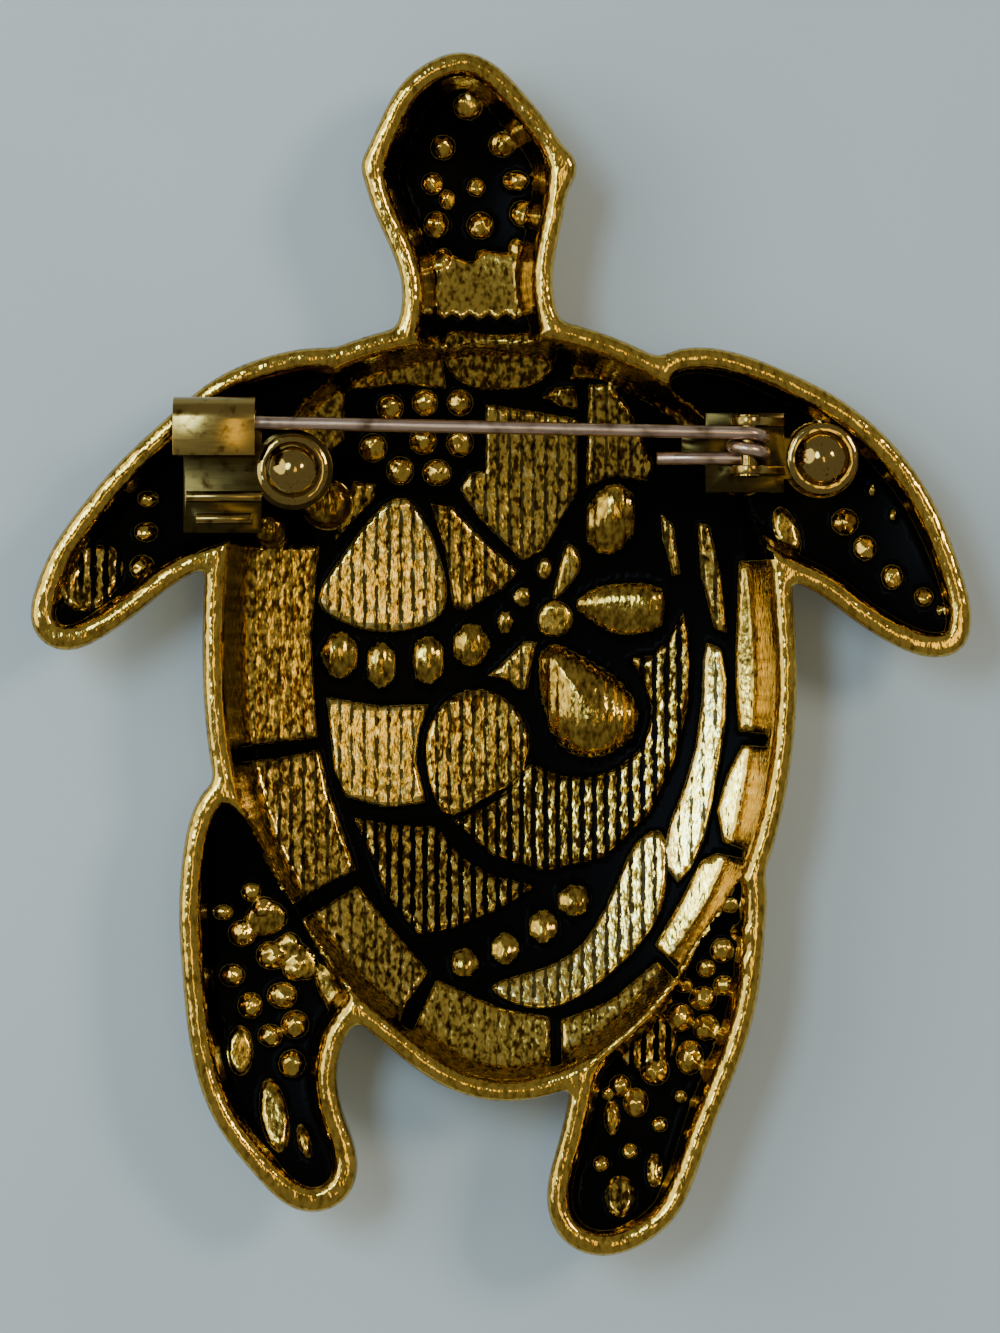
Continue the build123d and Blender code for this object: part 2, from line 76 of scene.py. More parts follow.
# Outlines at the widest part of the rim, going clockwise round the chart: (across, down)
CARAPACE = [
    (404, 326), (480, 314), (556, 320), (612, 336), (668, 362), (722, 396), (762, 450),
    (784, 520), (794, 600), (798, 690), (790, 775), (770, 860), (738, 930), (690, 995),
    (625, 1058), (562, 1092), (500, 1102), (440, 1085), (385, 1045), (322, 990),
    (270, 920), (234, 850), (212, 775), (203, 700), (202, 620), (208, 540), (228, 465),
    (268, 400), (330, 350),
]
HEAD = [
    (402, 300), (399, 272), (383, 232), (368, 195), (364, 163), (377, 126), (400, 84),
    (430, 60), (464, 51), (493, 62), (522, 90), (549, 123), (567, 160), (566, 200),
    (558, 242), (554, 296), (560, 350), (520, 380), (440, 380), (398, 350),
]
FRONT_LEFT = [
    (320, 347), (270, 355), (218, 376), (172, 412), (120, 460), (85, 500), (50, 550),
    (33, 592), (29, 620), (42, 643), (66, 651), (100, 638), (140, 610), (176, 582),
    (210, 566), (262, 545), (300, 490), (335, 430), (356, 380), (346, 353),
]
FRONT_RIGHT = [
    (662, 356), (690, 347), (740, 353), (785, 370), (830, 392), (872, 422), (912, 465),
    (944, 520), (964, 575), (973, 624), (963, 650), (936, 658), (895, 645), (855, 620),
    (815, 591), (780, 575), (738, 545), (700, 490), (666, 430), (648, 385),
]
REAR_LEFT = [
    (213, 783), (194, 806), (182, 855), (178, 910), (181, 970), (190, 1050), (203, 1098),
    (224, 1138), (258, 1180), (292, 1209), (324, 1212), (351, 1192), (357, 1160),
    (342, 1112), (337, 1066), (350, 1030), (368, 1002), (352, 955), (314, 890),
    (276, 822), (242, 788),
]
REAR_RIGHT = [
    (763, 870), (767, 915), (762, 975), (748, 1040), (720, 1112), (698, 1172),
    (676, 1218), (642, 1246), (600, 1257), (562, 1240), (547, 1203), (556, 1152),
    (568, 1104), (580, 1060), (618, 1020), (655, 975), (682, 915), (704, 866),
    (735, 846),
]
EYES = [(383, 166), (555, 168)]
EYE_RADIUS = 1.1

# Each form: outline, middle on the chart, height and radius of its front, how far lacquer fills it
FORMS = {
    "shell": (CARAPACE, (491, 668), 0.0, 62.0, 4.4),
    "head": (HEAD, (466, 190), 1.5, 16.0, 0.35),
    "front_left": (FRONT_LEFT, (190, 470), 3.1, 26.0, 0.5),
    "front_right": (FRONT_RIGHT, (825, 475), 3.1, 26.0, 0.5),
    "rear_left": (REAR_LEFT, (262, 985), 3.1, 26.0, 0.5),
    "rear_right": (REAR_RIGHT, (660, 1060), 3.1, 26.0, 0.5),
}

# How deep a wall lies below the rim, at distances in from its form's outline
INNER_WALL = [(0.5, -0.2), (0.62, 0.0), (0.98, 0.33), (1.3, 1.98), (2.2, 6.93)]
OUTER_WALL = [(0.0, 1.19), (0.5, 3.96), (1.6, 6.93)]

# How far creases are rounded: at the foot of a wall, where two hollows meet and along the rim, and
# on the front round a form's side and where two forms meet
FILLET, RIDGE_ROUNDING, RIM_ROUNDING = 1.5, 0.16, 0.3
SIDE_ROUNDING, VALLEY_ROUNDING = 0.8, 0.3

# Distance between the points of an outline, and how many points are compared with it at once
LOOP_SPACING, POINTS_AT_ONCE = 0.2, 1500

# A boss: half the width of its sloping side, and the drop and the width of its shoulder
BOSS_SIDE, SHOULDER_DROP, SHOULDER_WIDTH = 0.12, 0.15, 0.4

# Stone seats are cut in steps across: width of a step, and how much of the dome's slope it keeps
SEAT_STEP, STEP_SLOPE = 0.45, 0.6

# Heights of domes and bumps as shares of their radius, and how bright and worn their gold is
DOME_HEIGHT, DOME_TONE, BUMP_HEIGHT, BUMP_TONE, WEAR = 0.6, 0.35, 0.85, 0.6, 0.3

# Numbers that the meshes carry at their points for the finish
LAYERS = ("edge_mm", "ribbing", "tone", "polish")

# Raised plates: (curved outline or straight, brightness of the gold, partly painted light on lit
# and dull plates, depth of the ribs, outline)
PLATES = [
    (True, 0.3, 0.6, [
        (443, 337), (500, 334), (556, 337), (556, 362), (538, 384), (500, 391), (462, 384),
        (444, 362),
    ]),
    (False, 0.5, 0.3, [
        (436, 266), (446, 252), (470, 262), (486, 250), (520, 254), (538, 268), (542, 300),
        (541, 316), (532, 321), (524, 315), (515, 322), (506, 315), (497, 322), (488, 315),
        (479, 322), (470, 315), (461, 322), (452, 315), (443, 321), (436, 314),
    ]),
    (False, 0.3, 0.4, [
        (250, 400), (345, 335), (440, 335), (447, 390), (400, 385), (345, 392), (345, 440),
        (318, 462),
    ]),
    (False, 0.2, 0.4, [
        (572, 340), (640, 350), (715, 400), (700, 440), (650, 405), (600, 380), (570, 380),
    ]),
    (False, 0.3, 0.6, [(541, 398), (555, 387), (575, 385), (580, 411), (560, 407)]),
    (False, 0.4, 0.75, [
        (588, 384), (612, 383), (630, 408), (655, 465), (648, 482), (612, 477), (585, 490),
    ]),
    (False, 0.55, 0.78, [
        (484, 403), (578, 418), (578, 492), (545, 550), (522, 562), (480, 520), (458, 490),
        (470, 472), (484, 470),
    ]),
    (False, 0.5, 0.7, [(352, 480), (377, 484), (374, 500), (350, 525), (332, 545), (343, 512)]),
    (True, 0.85, 0.75, [
        (402, 497), (425, 520), (443, 565), (443, 612), (400, 632), (345, 624), (319, 605),
        (338, 560), (372, 515),
    ]),
    (False, 0.35, 0.74, [
        (430, 503), (452, 505), (480, 535), (520, 572), (503, 590), (465, 612), (452, 608),
        (446, 560),
    ]),
    (True, 0.6, 0.5, [(570, 543), (581, 558), (576, 578), (553, 600), (558, 570)]),
    (True, 0.5, 0.3, [(545, 557), (552, 566), (546, 580), (538, 578)]),
    (True, 0.5, 0.4, [(553, 600), (572, 610), (566, 634), (540, 632), (538, 612)]),
    (False, 0.6, 0.7, [
        (487, 676), (500, 664), (524, 640), (538, 641), (528, 690), (518, 691), (508, 681),
    ]),
    (False, 0.8, 0.72, [
        (325, 696), (380, 705), (430, 703), (420, 730), (417, 760), (427, 803), (385, 808),
        (345, 797), (333, 770),
    ]),
    (True, 0.45, 0.78, [
        (478, 688), (512, 704), (530, 745), (518, 778), (488, 798), (447, 815), (428, 780),
        (428, 728), (446, 700),
    ]),
    (False, 0.25, 0.98, [
        (683, 610), (689, 630), (692, 665), (690, 700), (676, 760), (650, 814), (605, 858),
        (545, 872), (492, 856), (452, 821), (496, 800), (530, 762), (560, 775), (588, 777),
        (616, 768), (638, 750), (648, 728), (651, 708), (645, 688), (636, 668), (626, 657),
        (650, 655), (668, 640), (676, 624),
    ]),
    (False, 0.35, 1.0, [
        (352, 816), (400, 825), (436, 825), (460, 855), (490, 873), (538, 886), (500, 910),
        (450, 930), (418, 935), (385, 895), (368, 850),
    ]),
    (True, 0.85, 0.8, [
        (655, 829), (667, 885), (648, 935), (600, 983), (560, 1006), (510, 1002), (492, 990),
        (545, 966), (600, 915), (622, 868), (636, 842),
    ]),
    (False, 0.7, 0.76, [(660, 512), (674, 524), (682, 575), (672, 577), (662, 540)]),
    (False, 0.7, 0.76, [
        (697, 522), (710, 524), (722, 575), (728, 634), (714, 630), (700, 575),
    ]),
    (False, 1.1, 0.62, [
        (706, 641), (722, 648), (728, 680), (727, 720), (720, 765), (713, 805), (704, 842),
        (692, 868), (678, 884), (666, 868), (664, 845), (670, 820), (684, 785), (695, 745),
        (701, 700), (702, 660),
    ]),
    (False, 0.35, 0.5, [
        (225, 545), (320, 545), (312, 640), (318, 738), (232, 749), (200, 762), (195, 545),
    ]),
    (False, 0.4, 0.76, [
        (228, 762), (280, 757), (320, 748), (330, 790), (357, 870), (320, 888), (276, 914),
        (225, 862), (203, 772),
    ]),
    (False, 0.5, 0.72, [
        (268, 935), (325, 905), (358, 884), (390, 925), (430, 972), (405, 1006), (388, 1060),
        (312, 1000),
    ]),
    (False, 0.5, 0.6, [
        (436, 978), (500, 1007), (551, 1016), (551, 1110), (490, 1116), (420, 1090), (396, 1064),
    ]),
    (False, 0.6, 0.68, [
        (560, 1019), (610, 1000), (657, 960), (700, 1000), (664, 1036), (610, 1080), (562, 1106),
    ]),
    (False, 0.6, 0.4, [
        (738, 560), (800, 560), (812, 640), (806, 738), (738, 732), (735, 690), (735, 645),
    ]),
    (False, 0.9, 0.45, [
        (742, 744), (806, 748), (792, 852), (750, 852), (722, 842), (716, 810), (726, 775),
    ]),
    (False, 0.85, 0.42, [
        (700, 860), (716, 852), (785, 864), (760, 930), (706, 996), (684, 975), (654, 945),
        (680, 900),
    ]),
]

# Domed stone seats on the shell's floor: (across, down, width across, length down, turn in degrees)
STONE_SEATS = [
    (611, 519, 52, 76, -14),
    (340, 655, 38, 50), (381, 665, 32, 50), (428, 660, 36, 52), (471, 645, 38, 46),
    (505, 622, 20, 26), (522, 597, 20, 22),
    (464, 962, 31, 31), (505, 948, 28, 36), (543, 926, 30, 36), (574, 900, 34, 34),
]

# Larger seats: the oval round each, the distance over which it climbs to its top, and its outline
LARGE_SEATS = [
    ((589, 700, 104, 120), 46, [
        (541, 650), (552, 643), (570, 648), (592, 660), (616, 676), (632, 694), (640, 712),
        (636, 732), (620, 749), (598, 758), (574, 756), (555, 740), (543, 712), (539, 680),
    ]),
    ((620, 609, 96, 56), 23, [
        (574, 604), (585, 592), (600, 585), (625, 582), (650, 583), (664, 590), (667, 608),
        (662, 626), (645, 634), (622, 636), (603, 630), (586, 618),
    ]),
]

# Flat scales: (across, down, width across, length down, turn in degrees, rib depth)
SCALES = [
    # Rear left flipper
    (266, 918, 46, 36, 10, 0.1), (296, 958, 58, 34, -40, 0.2), (330, 990, 24, 60, 25, 0.1),
    (240, 1050, 28, 54, 0, 0.1), (274, 1115, 30, 78, 10, 0.2), (304, 1141, 14, 40, 15, 0.2),
    # Rear right flipper
    (620, 1196, 32, 44, 0, 0.8), (655, 1170, 17, 38, 0, 0.3), (612, 1117, 18, 38, 0, 0.1),
    (646, 1040, 64, 60, 35, 1.0),
    # Front left flipper
    (92, 578, 54, 76, -38, 1.0),
    # Front right flipper
    (787, 532, 26, 56, 20, 0.1), (872, 490, 8, 14, 0, 0.0), (893, 515, 8, 14, 0, 0.0),
    (940, 610, 8, 14, 0, 0.0),
]

# Round bumps on the floors: (across, down, width across, length down)
BUMPS = [
    # Shell
    (390, 408, 27, 26), (425, 403, 26, 26), (460, 403, 26, 26), (373, 448, 28, 28),
    (423, 441, 27, 27), (460, 443, 27, 28), (400, 471, 27, 28), (437, 473, 29, 26),
    # Head
    (468, 107, 29, 27), (443, 148, 25, 25), (502, 145, 27, 25), (432, 184, 22, 22),
    (447, 200, 17, 20), (476, 188, 19, 19), (516, 181, 27, 20), (436, 225, 25, 26),
    (480, 226, 27, 27), (522, 214, 25, 26), (443, 262, 21, 27), (516, 250, 16, 23),
    (538, 160, 9, 8), (483, 257, 16, 15),
    # Rear left flipper
    (251, 892, 20, 19), (223, 912, 21, 16), (264, 911, 26, 29), (242, 933, 28, 26),
    (272, 955, 32, 28), (290, 943, 22, 22), (232, 975, 26, 23), (296, 967, 28, 26),
    (282, 995, 30, 26), (250, 1005, 25, 26), (270, 1035, 25, 23), (295, 1024, 28, 28),
    (292, 1063, 27, 27),
    # Rear right flipper
    (730, 905, 18, 16), (740, 932, 20, 18), (722, 950, 24, 24), (706, 968, 20, 18),
    (724, 985, 22, 20), (742, 962, 16, 20), (684, 985, 18, 16), (703, 998, 28, 24),
    (680, 1017, 27, 28), (706, 1027, 26, 26), (690, 1057, 27, 34), (655, 1070, 29, 29),
    (620, 1085, 22, 22), (636, 1102, 25, 29), (608, 1093, 13, 13), (681, 1096, 13, 13),
    (660, 1124, 16, 16), (630, 1151, 16, 16), (601, 1163, 16, 16),
    # Front left flipper
    (148, 499, 22, 17), (146, 532, 25, 20), (142, 567, 25, 24),
    # Front right flipper
    (845, 522, 27, 26), (865, 548, 23, 25), (892, 577, 22, 25), (924, 597, 20, 19),
]

# Sizes of the fittings in millimetres, the same as the part's own
SHEET, SEAT_GAP = 0.4, 0.02
RIVET_HEAD_RADIUS, RIVET_HEAD_HEIGHT = 1.32, 0.8
COLLAR_RADIUS, COLLAR_HEIGHT = 1.7, 0.18
SHANK_RADIUS, SHANK_LENGTH, SHANK_FIT = 0.6, 2.2, 0.02
AXLE_DIAMETER, AXLE_FIT, AXLE_HEAD_RADIUS, AXLE_HEAD_HEIGHT = 0.8, 0.04, 0.62, 0.15
COIL_TURNS, COIL_PITCH, SIDE_PLAY, TAIL_CLEARANCE, TAIL_LENGTH = 1.5, 0.76, 0.06, 0.03, 4.3
WIRE_DIAMETER, POINT_LENGTH, POINT_RADIUS = 0.62, 2.0, 0.04
HOOD_BORE, HOOD_LENGTH, HOOD_LIP, BEAD_HEIGHT, LUG_NECK = 0.72, 3.85, 1.65, 0.25, 2.0

# Places of the fittings on the chart
CATCH_RIVET = (293, 470)
CATCH_LEFT, CATCH_RIGHT, CATCH_BOTTOM = 184, 262, 533
HOOD_LEFT, HOOD_BACK = 175, 398
CATCH_BEADS = [(497, 187, 262), (519, 197, 252)]
HINGE_RIVET = (823, 458)
HINGE_LEFT, HINGE_TOP, HINGE_BOTTOM = 706, 412, 492
TONGUE_LEFT, TONGUE_TOP, TONGUE_BOTTOM = 682, 434, 456
EAR_END = 785
AXLE = 748
STEM_TIP = 182
TAIL_ROW = 458

# The square table's side, and the lights: name, place in metres, width, length, colour, and
# whether it faces straight down. The two patches are there to be mirrored in the plates
TABLE_SIZE = 1200
LIGHTS = [
    ("lamp", (0.33, 0.16, 0.45), 0.14, 0.14, (1.0, 0.93, 0.8), False),
    ("window", (-0.175, 0.045, 0.15), 0.2, 0.2, (0.9, 0.97, 1.0), False),
    ("cool_patch", (-0.172, 0.12, 0.5), 0.14, 0.22, (0.52, 0.75, 1.0), True),
    ("warm_patch", (0.07, -0.003, 0.5), 0.075, 0.2, (1.0, 0.78, 0.22), True),
]


def spot(across, down):
    """A place on the chart, as X and Y on the brooch in millimetres."""
    return np.array([(across - CHART_MIDDLE[0]) * ACROSS, (CHART_MIDDLE[1] - down) * DOWN])


EYE_PLACE = spot(PICTURE_SIZE[0] / 2, PICTURE_SIZE[1] / 2)


def as_seen(points, height):
    """Where points at a height show on the chart, in millimetres at the rim."""
    share = (EYE_HEIGHT - RIM_Z) / (EYE_HEIGHT - height)
    return EYE_PLACE + (points - EYE_PLACE) * share[:, None]


def as_placed(points):
    """Where points read off the chart lie on the floors."""
    share = (EYE_HEIGHT - hollow(points)[1]) / (EYE_HEIGHT - RIM_Z)
    return EYE_PLACE + (points - EYE_PLACE) * share[:, None]


# What the fittings share
CATCH_Z = RIM_Z
PIN_Z = CATCH_Z + SEAT_GAP + SHEET + HOOD_BORE
HOOD_Y = spot(0, HOOD_BACK)[1] - SHEET - HOOD_BORE
COIL_RADIUS = AXLE_DIAMETER / 2 + AXLE_FIT + WIRE_DIAMETER / 2
AXLE_X = spot(AXLE, 0)[0]
AXLE_Z = PIN_Z - COIL_RADIUS
TAIL_Y = spot(0, TAIL_ROW)[1]
STEM_Y = TAIL_Y + COIL_TURNS * COIL_PITCH
EAR_TOP_Y = STEM_Y + WIRE_DIAMETER / 2 + SIDE_PLAY
EAR_BOTTOM_Y = TAIL_Y - WIRE_DIAMETER / 2 - SIDE_PLAY
HINGE_Z = AXLE_Z - COIL_RADIUS - WIRE_DIAMETER / 2 - TAIL_CLEARANCE - SHEET - SEAT_GAP

# Pillars under and beside the plates: (place, radius, height of the top)
BOSSES = [
    (CATCH_RIVET, 1.75, CATCH_Z), ((324, 502), 1.15, RIM_Z - 1.4), ((268, 528), 0.8, CATCH_Z),
    (HINGE_RIVET, 1.75, HINGE_Z), ((745, 470), 1.1, HINGE_Z),
]


def linear(hex_colour):
    """The linear colour of an sRGB hex value."""
    shares = [int(hex_colour[i:i + 2], 16) / 255 for i in (1, 3, 5)]
    return tuple(s / 12.92 if s <= 0.04045 else ((s + 0.055) / 1.055) ** 2.4 for s in shares)


# Settings


def distance(name, millimetres, description):
    """A length that can be set, given in millimetres."""
    return FloatProperty(
        name=name, description=description, default=millimetres * MM, unit="LENGTH", precision=6)


def power(name, watts, description):
    """A lamp's power that can be set, given in watts."""
    return FloatProperty(name=name, description=description, default=watts, unit="POWER")


def tint(name, hex_colour, description):
    """A colour that can be set, given as an sRGB hex value."""
    return FloatVectorProperty(
        name=name, description=description, default=linear(hex_colour), subtype="COLOR", size=3)


class CastingSizes(bpy.types.PropertyGroup):
    rib_pitch: distance("Rib pitch", 0.58, "Distance between two milled ribs")
    rib_depth: distance("Rib depth", 0.012, "How far the lacquer between the ribs lies below them")
    plate_rise: distance("Plate rise", 0.35, "Height of a plate over the lacquered floor")
    bead_radius: distance("Rim rounding", 0.5, "Radius of the rim's outer edge")
    front_groove: distance("Front groove", 0.12, "Depth of the grooves between the front's plates")
    floor_step: distance("Floor step", 0.17, "Distance between points on the floors")


class FittingSizes(bpy.types.PropertyGroup):
    edge_rounding: distance("Edge rounding", 0.07, "Radius on the edges of the sheet fittings")
    wire_sides: IntProperty(
        name="Wire sides", description="Sides of the pin's wire", default=20, min=8, max=48)
    turned_sides: IntProperty(
        name="Turned sides", description="Sides of rivets and axle", default=72, min=16, max=128)


class Finishes(bpy.types.PropertyGroup):
    gold: tint("Antique gold", "#CFA846", "Plating on the plates and rim")
    # Pale gold is real wear on the rim, and painted highlight on plates painted as lit and on
    # painted glints
    pale_gold_wear_and_highlight: tint("Pale gold", "#EDD684", "Plating where it is polished through wear")
    # Brown gold is real tarnish and stain, and painted shade on the left walls, on dull plates and
    # in painted glints
    brown_gold_stain_and_shade: tint("Brown gold", "#4A3006", "Plating that the lacquer has stained")
    # This black is real lacquer in the casting's recesses, and a painted dark reflection on the
    # fittings' flat bases
    lacquer_and_painted_dark: tint("Black lacquer", "#050403", "Lacquer left in the recesses")
    sheet_gold: tint("Sheet gold", "#9C8040", "Plating on the pressed fittings")
    steel: tint("Wire steel", "#C9A98F", "Nickel-plated wire of the pin")
    floor: tint("Table", "#BAC4C3", "Pale table that the brooch lies on")


class StageSizes(bpy.types.PropertyGroup):
    camera_height: distance("Camera height", EYE_HEIGHT, "Height of the camera over the table")
    lamp: power("Lamp", 1.05, "Power of the lamp on the right, which throws the shadows")
    window: power("Window", 0.28, "Power of the wide light on the left")
    cool_patch: power("Cool patch", 1.35, "Power of the cool reflection in the right plates")
    warm_patch: power("Warm patch", 0.13, "Power of the warm reflection in the left plates")
    room_strength: FloatProperty(
        name="Room", description="Strength of the light from all round", default=0.28, min=0.0)


class BroochSettings(bpy.types.PropertyGroup):
    casting: PointerProperty(type=CastingSizes)
    fittings: PointerProperty(type=FittingSizes)
    finishes: PointerProperty(type=Finishes)
    stage: PointerProperty(type=StageSizes)


def settings():
    """The brooch's settings in this scene."""
    return bpy.context.scene.turtle_brooch


# Lines and distances


def smooth_loop(places, spacing):
    """Points along the smooth closed line through some places, anticlockwise and evenly apart."""
    # A cubic runs between each two places, with the bends at its ends that make its slopes meet
    knots = np.array(places, float)
    count = len(knots)
    after = np.roll(knots, -1, axis=0)
    chord = np.linalg.norm(after - knots, axis=1)
    system, right = np.zeros((count, count)), np.zeros((count, 2))
    for i in range(count):
        slope_out = (after[i] - knots[i]) / chord[i]
        slope_in = (knots[i] - knots[i - 1]) / chord[i - 1]
        system[i, i - 1] += chord[i - 1]
        system[i, i] += 2 * (chord[i - 1] + chord[i])
        system[i, (i + 1) % count] += chord[i]
        right[i] = 6 * (slope_out - slope_in)
    bend = np.linalg.solve(system, right)
    line = []
    for i in range(count):
        h, j = chord[i], (i + 1) % count
        for u in np.linspace(0, h, max(4, math.ceil(3 * h / spacing)), endpoint=False):
            w = h - u
            line.append(
                (bend[i] * w ** 3 + bend[j] * u ** 3) / (6 * h)
                + (knots[i] / h - bend[i] * h / 6) * w + (knots[j] / h - bend[j] * h / 6) * u)
    return even_loop(np.array(line), spacing)


def even_loop(line, spacing):
    """A closed line with its points moved to be evenly apart, anticlockwise."""
    area = (line[:, 0] * np.roll(line[:, 1], -1) - np.roll(line[:, 0], -1) * line[:, 1]).sum()
    if area < 0:
        line = line[::-1]
    closed = np.vstack([line, line[:1]])
    along = np.concatenate([[0], np.cumsum(np.linalg.norm(np.diff(closed, axis=0), axis=1))])
    count = max(8, round(along[-1] / spacing))
    wanted = np.arange(count) * along[-1] / count
    return np.column_stack([np.interp(wanted, along, closed[:, k]) for k in (0, 1)])


def outward_normals(loop):
    """Unit normals that point out of an anticlockwise loop."""
    run = np.roll(loop, -1, axis=0) - np.roll(loop, 1, axis=0)
    run /= np.linalg.norm(run, axis=1)[:, None]
    return np.column_stack([run[:, 1], -run[:, 0]])


def depth_inside(points, loop, reach=1.0):
    """How far each point lies inside a loop, negative outside it, and no lower than -reach."""
    found = np.full(len(points), -reach)
    low, high = loop.min(0) - reach, loop.max(0) + reach
    near = np.flatnonzero(((points > low) & (points < high)).all(1))
    run = np.roll(loop, -1, axis=0) - loop
    run_squared = (run ** 2).sum(1)
    rise = np.where(run[:, 1] == 0, 1e-12, run[:, 1])
    # Points are taken a part at a time, to spare memory
    for start in range(0, len(near), POINTS_AT_ONCE):
        part = near[start:start + POINTS_AT_ONCE]
        gap = points[part, None, :] - loop
        share = np.clip((gap * run).sum(2) / run_squared, 0, 1)
        away = np.sqrt(((gap - share[..., None] * run) ** 2).sum(2).min(1))
        above = gap[..., 1] < 0
        above_next = gap[..., 1] < run[:, 1]
        crossed = (above != above_next) & (gap[..., 0] < gap[..., 1] / rise * run[:, 0])
        found[part] = np.where(crossed.sum(1) % 2 == 1, away, -away)
    return np.maximum(found, -reach)


def smooth_min(a, b, rounding):
    """The lower of two heights, with a rounded crease where they meet."""
    return np.minimum(a, b) - np.maximum(rounding - np.abs(a - b), 0) ** 2 / (4 * rounding)


def smooth_max(a, b, rounding):
    """The higher of two heights, with a rounded crease where they meet."""
    return -smooth_min(-a, -b, rounding)


def ramp(values, low, high):
    """0 below low, 1 above high and a smooth climb between them."""
    share = np.clip((values - low) / (high - low), 0, 1)
    return share * share * (3 - 2 * share)


def lumps(points, size):
    """Smooth noise from -1 to 1, with lumps of about a size in millimetres."""
    return np.array([noise.noise(Vector((x / size, y / size, size))) for x, y in points])


# The casting's surfaces


def form_loop(name):
    """A form's outline as an even loop in millimetres."""
    return smooth_loop([spot(*place) for place in FORMS[name][0]], LOOP_SPACING)


def silhouette(spacing):
    """The line round all the forms and the eyes together, its inner corners filled a little."""
    loops = [form_loop(name) for name in FORMS]
    turn = np.linspace(0, 2 * math.pi, 24, endpoint=False)
    for eye in EYES:
        loops.append(spot(*eye) + EYE_RADIUS * np.column_stack([np.cos(turn), np.sin(turn)]))
    corners, faces = [], []
    for loop in loops:
        faces.append(list(range(len(corners), len(corners) + len(loop))))
        corners += [Vector(p) for p in loop]
    places, _, triangles, *_ = delaunay_2d_cdt(corners, [], faces, 1, 1e-5)
    # The line follows each triangle's side that no other triangle shares
    sides = {(t[k], t[(k + 1) % len(t)]) for t in triangles for k in range(len(t))}
    following = {a: b for a, b in sides if (b, a) not in sides}
    line, here = [], min(following)
    while here in following:
        line.append(tuple(places[here]))
        here = following.pop(here)
    loop = even_loop(np.array(line), spacing)
    for _ in range(10):
        loop = (np.roll(loop, 1, axis=0) + 2 * loop + np.roll(loop, -1, axis=0)) / 4
    return even_loop(loop, spacing)


def ball_under(name, points, wall=0.0):
    """Height of a form's front under each point, or of the floor a wall's thickness above it."""
    _, middle, front_z, radius, _ = FORMS[name]
    off = ((points - spot(*middle)) ** 2).sum(1)
    return front_z + radius - np.sqrt(np.maximum((radius - wall) ** 2 - off, 1.0))


def hollow(points):
    """Height of the bare hollow at each point, the floor there, and the form that it belongs to."""
    outside = RIM_Z + 50
    height = np.full(len(points), outside)
    floor, owner = np.zeros(len(points)), np.zeros(len(points), int)
    insets, depths = zip(*INNER_WALL)
    for number, name in enumerate(FORMS):
        inset = depth_inside(points, form_loop(name))
        bottom = ball_under(name, points, WALL)
        wall = RIM_Z - np.interp(inset, insets, depths)
        own = np.where(inset > insets[0], smooth_max(wall, bottom, FILLET), outside)
        nearer = own < height
        floor[nearer], owner[nearer] = bottom[nearer], number
        height = smooth_min(height, own, RIDGE_ROUNDING)
    return height, floor, owner


def oval_reach(points, across, down, width, length, turn=0.0):
    """Share of the way from an oval's middle to its edge at each point, and its shorter radius."""
    half = np.array([width / 2 * ACROSS, length / 2 * DOWN])
    cos, sin = math.cos(math.radians(turn)), math.sin(math.radians(turn))
    x, y = (points - spot(across, down)).T
    turned_back = np.column_stack([x * cos + y * sin, y * cos - x * sin])
    return np.linalg.norm(turned_back / half, axis=1), half.min()


def oval_ring(inset, across, down, width, length, turn=0.0, spacing=0.16):
    """Points along an oval's edge, moved in by a distance."""
    half = np.array([width / 2 * ACROSS, length / 2 * DOWN]) - inset
    if half.min() < spacing / 3:
        return np.empty((0, 2))
    count = max(6, round(math.pi * half.sum() / spacing))
    angle = np.linspace(0, 2 * math.pi, count, endpoint=False)
    cos, sin = math.cos(math.radians(turn)), math.sin(math.radians(turn))
    x, y = half[0] * np.cos(angle), half[1] * np.sin(angle)
    return spot(across, down) + np.column_stack([x * cos - y * sin, x * sin + y * cos])


def round_oval(place, radius):
    """A circle on the brooch, as the oval that it is on the chart."""
    return (*place, 2 * radius / ACROSS, 2 * radius / DOWN)


def plate_loops():
    """The plates' outlines as even loops, with the tone of their gold, partly painted light, and
    their rib depth.
    """
    rows = []
    for curved, tone_and_painted_light, ribs, outline in PLATES:
        places = np.array([spot(*place) for place in outline])
        loop = (smooth_loop if curved else even_loop)(places, LOOP_SPACING)
        rows.append((loop, tone_and_painted_light, ribs))
    return rows


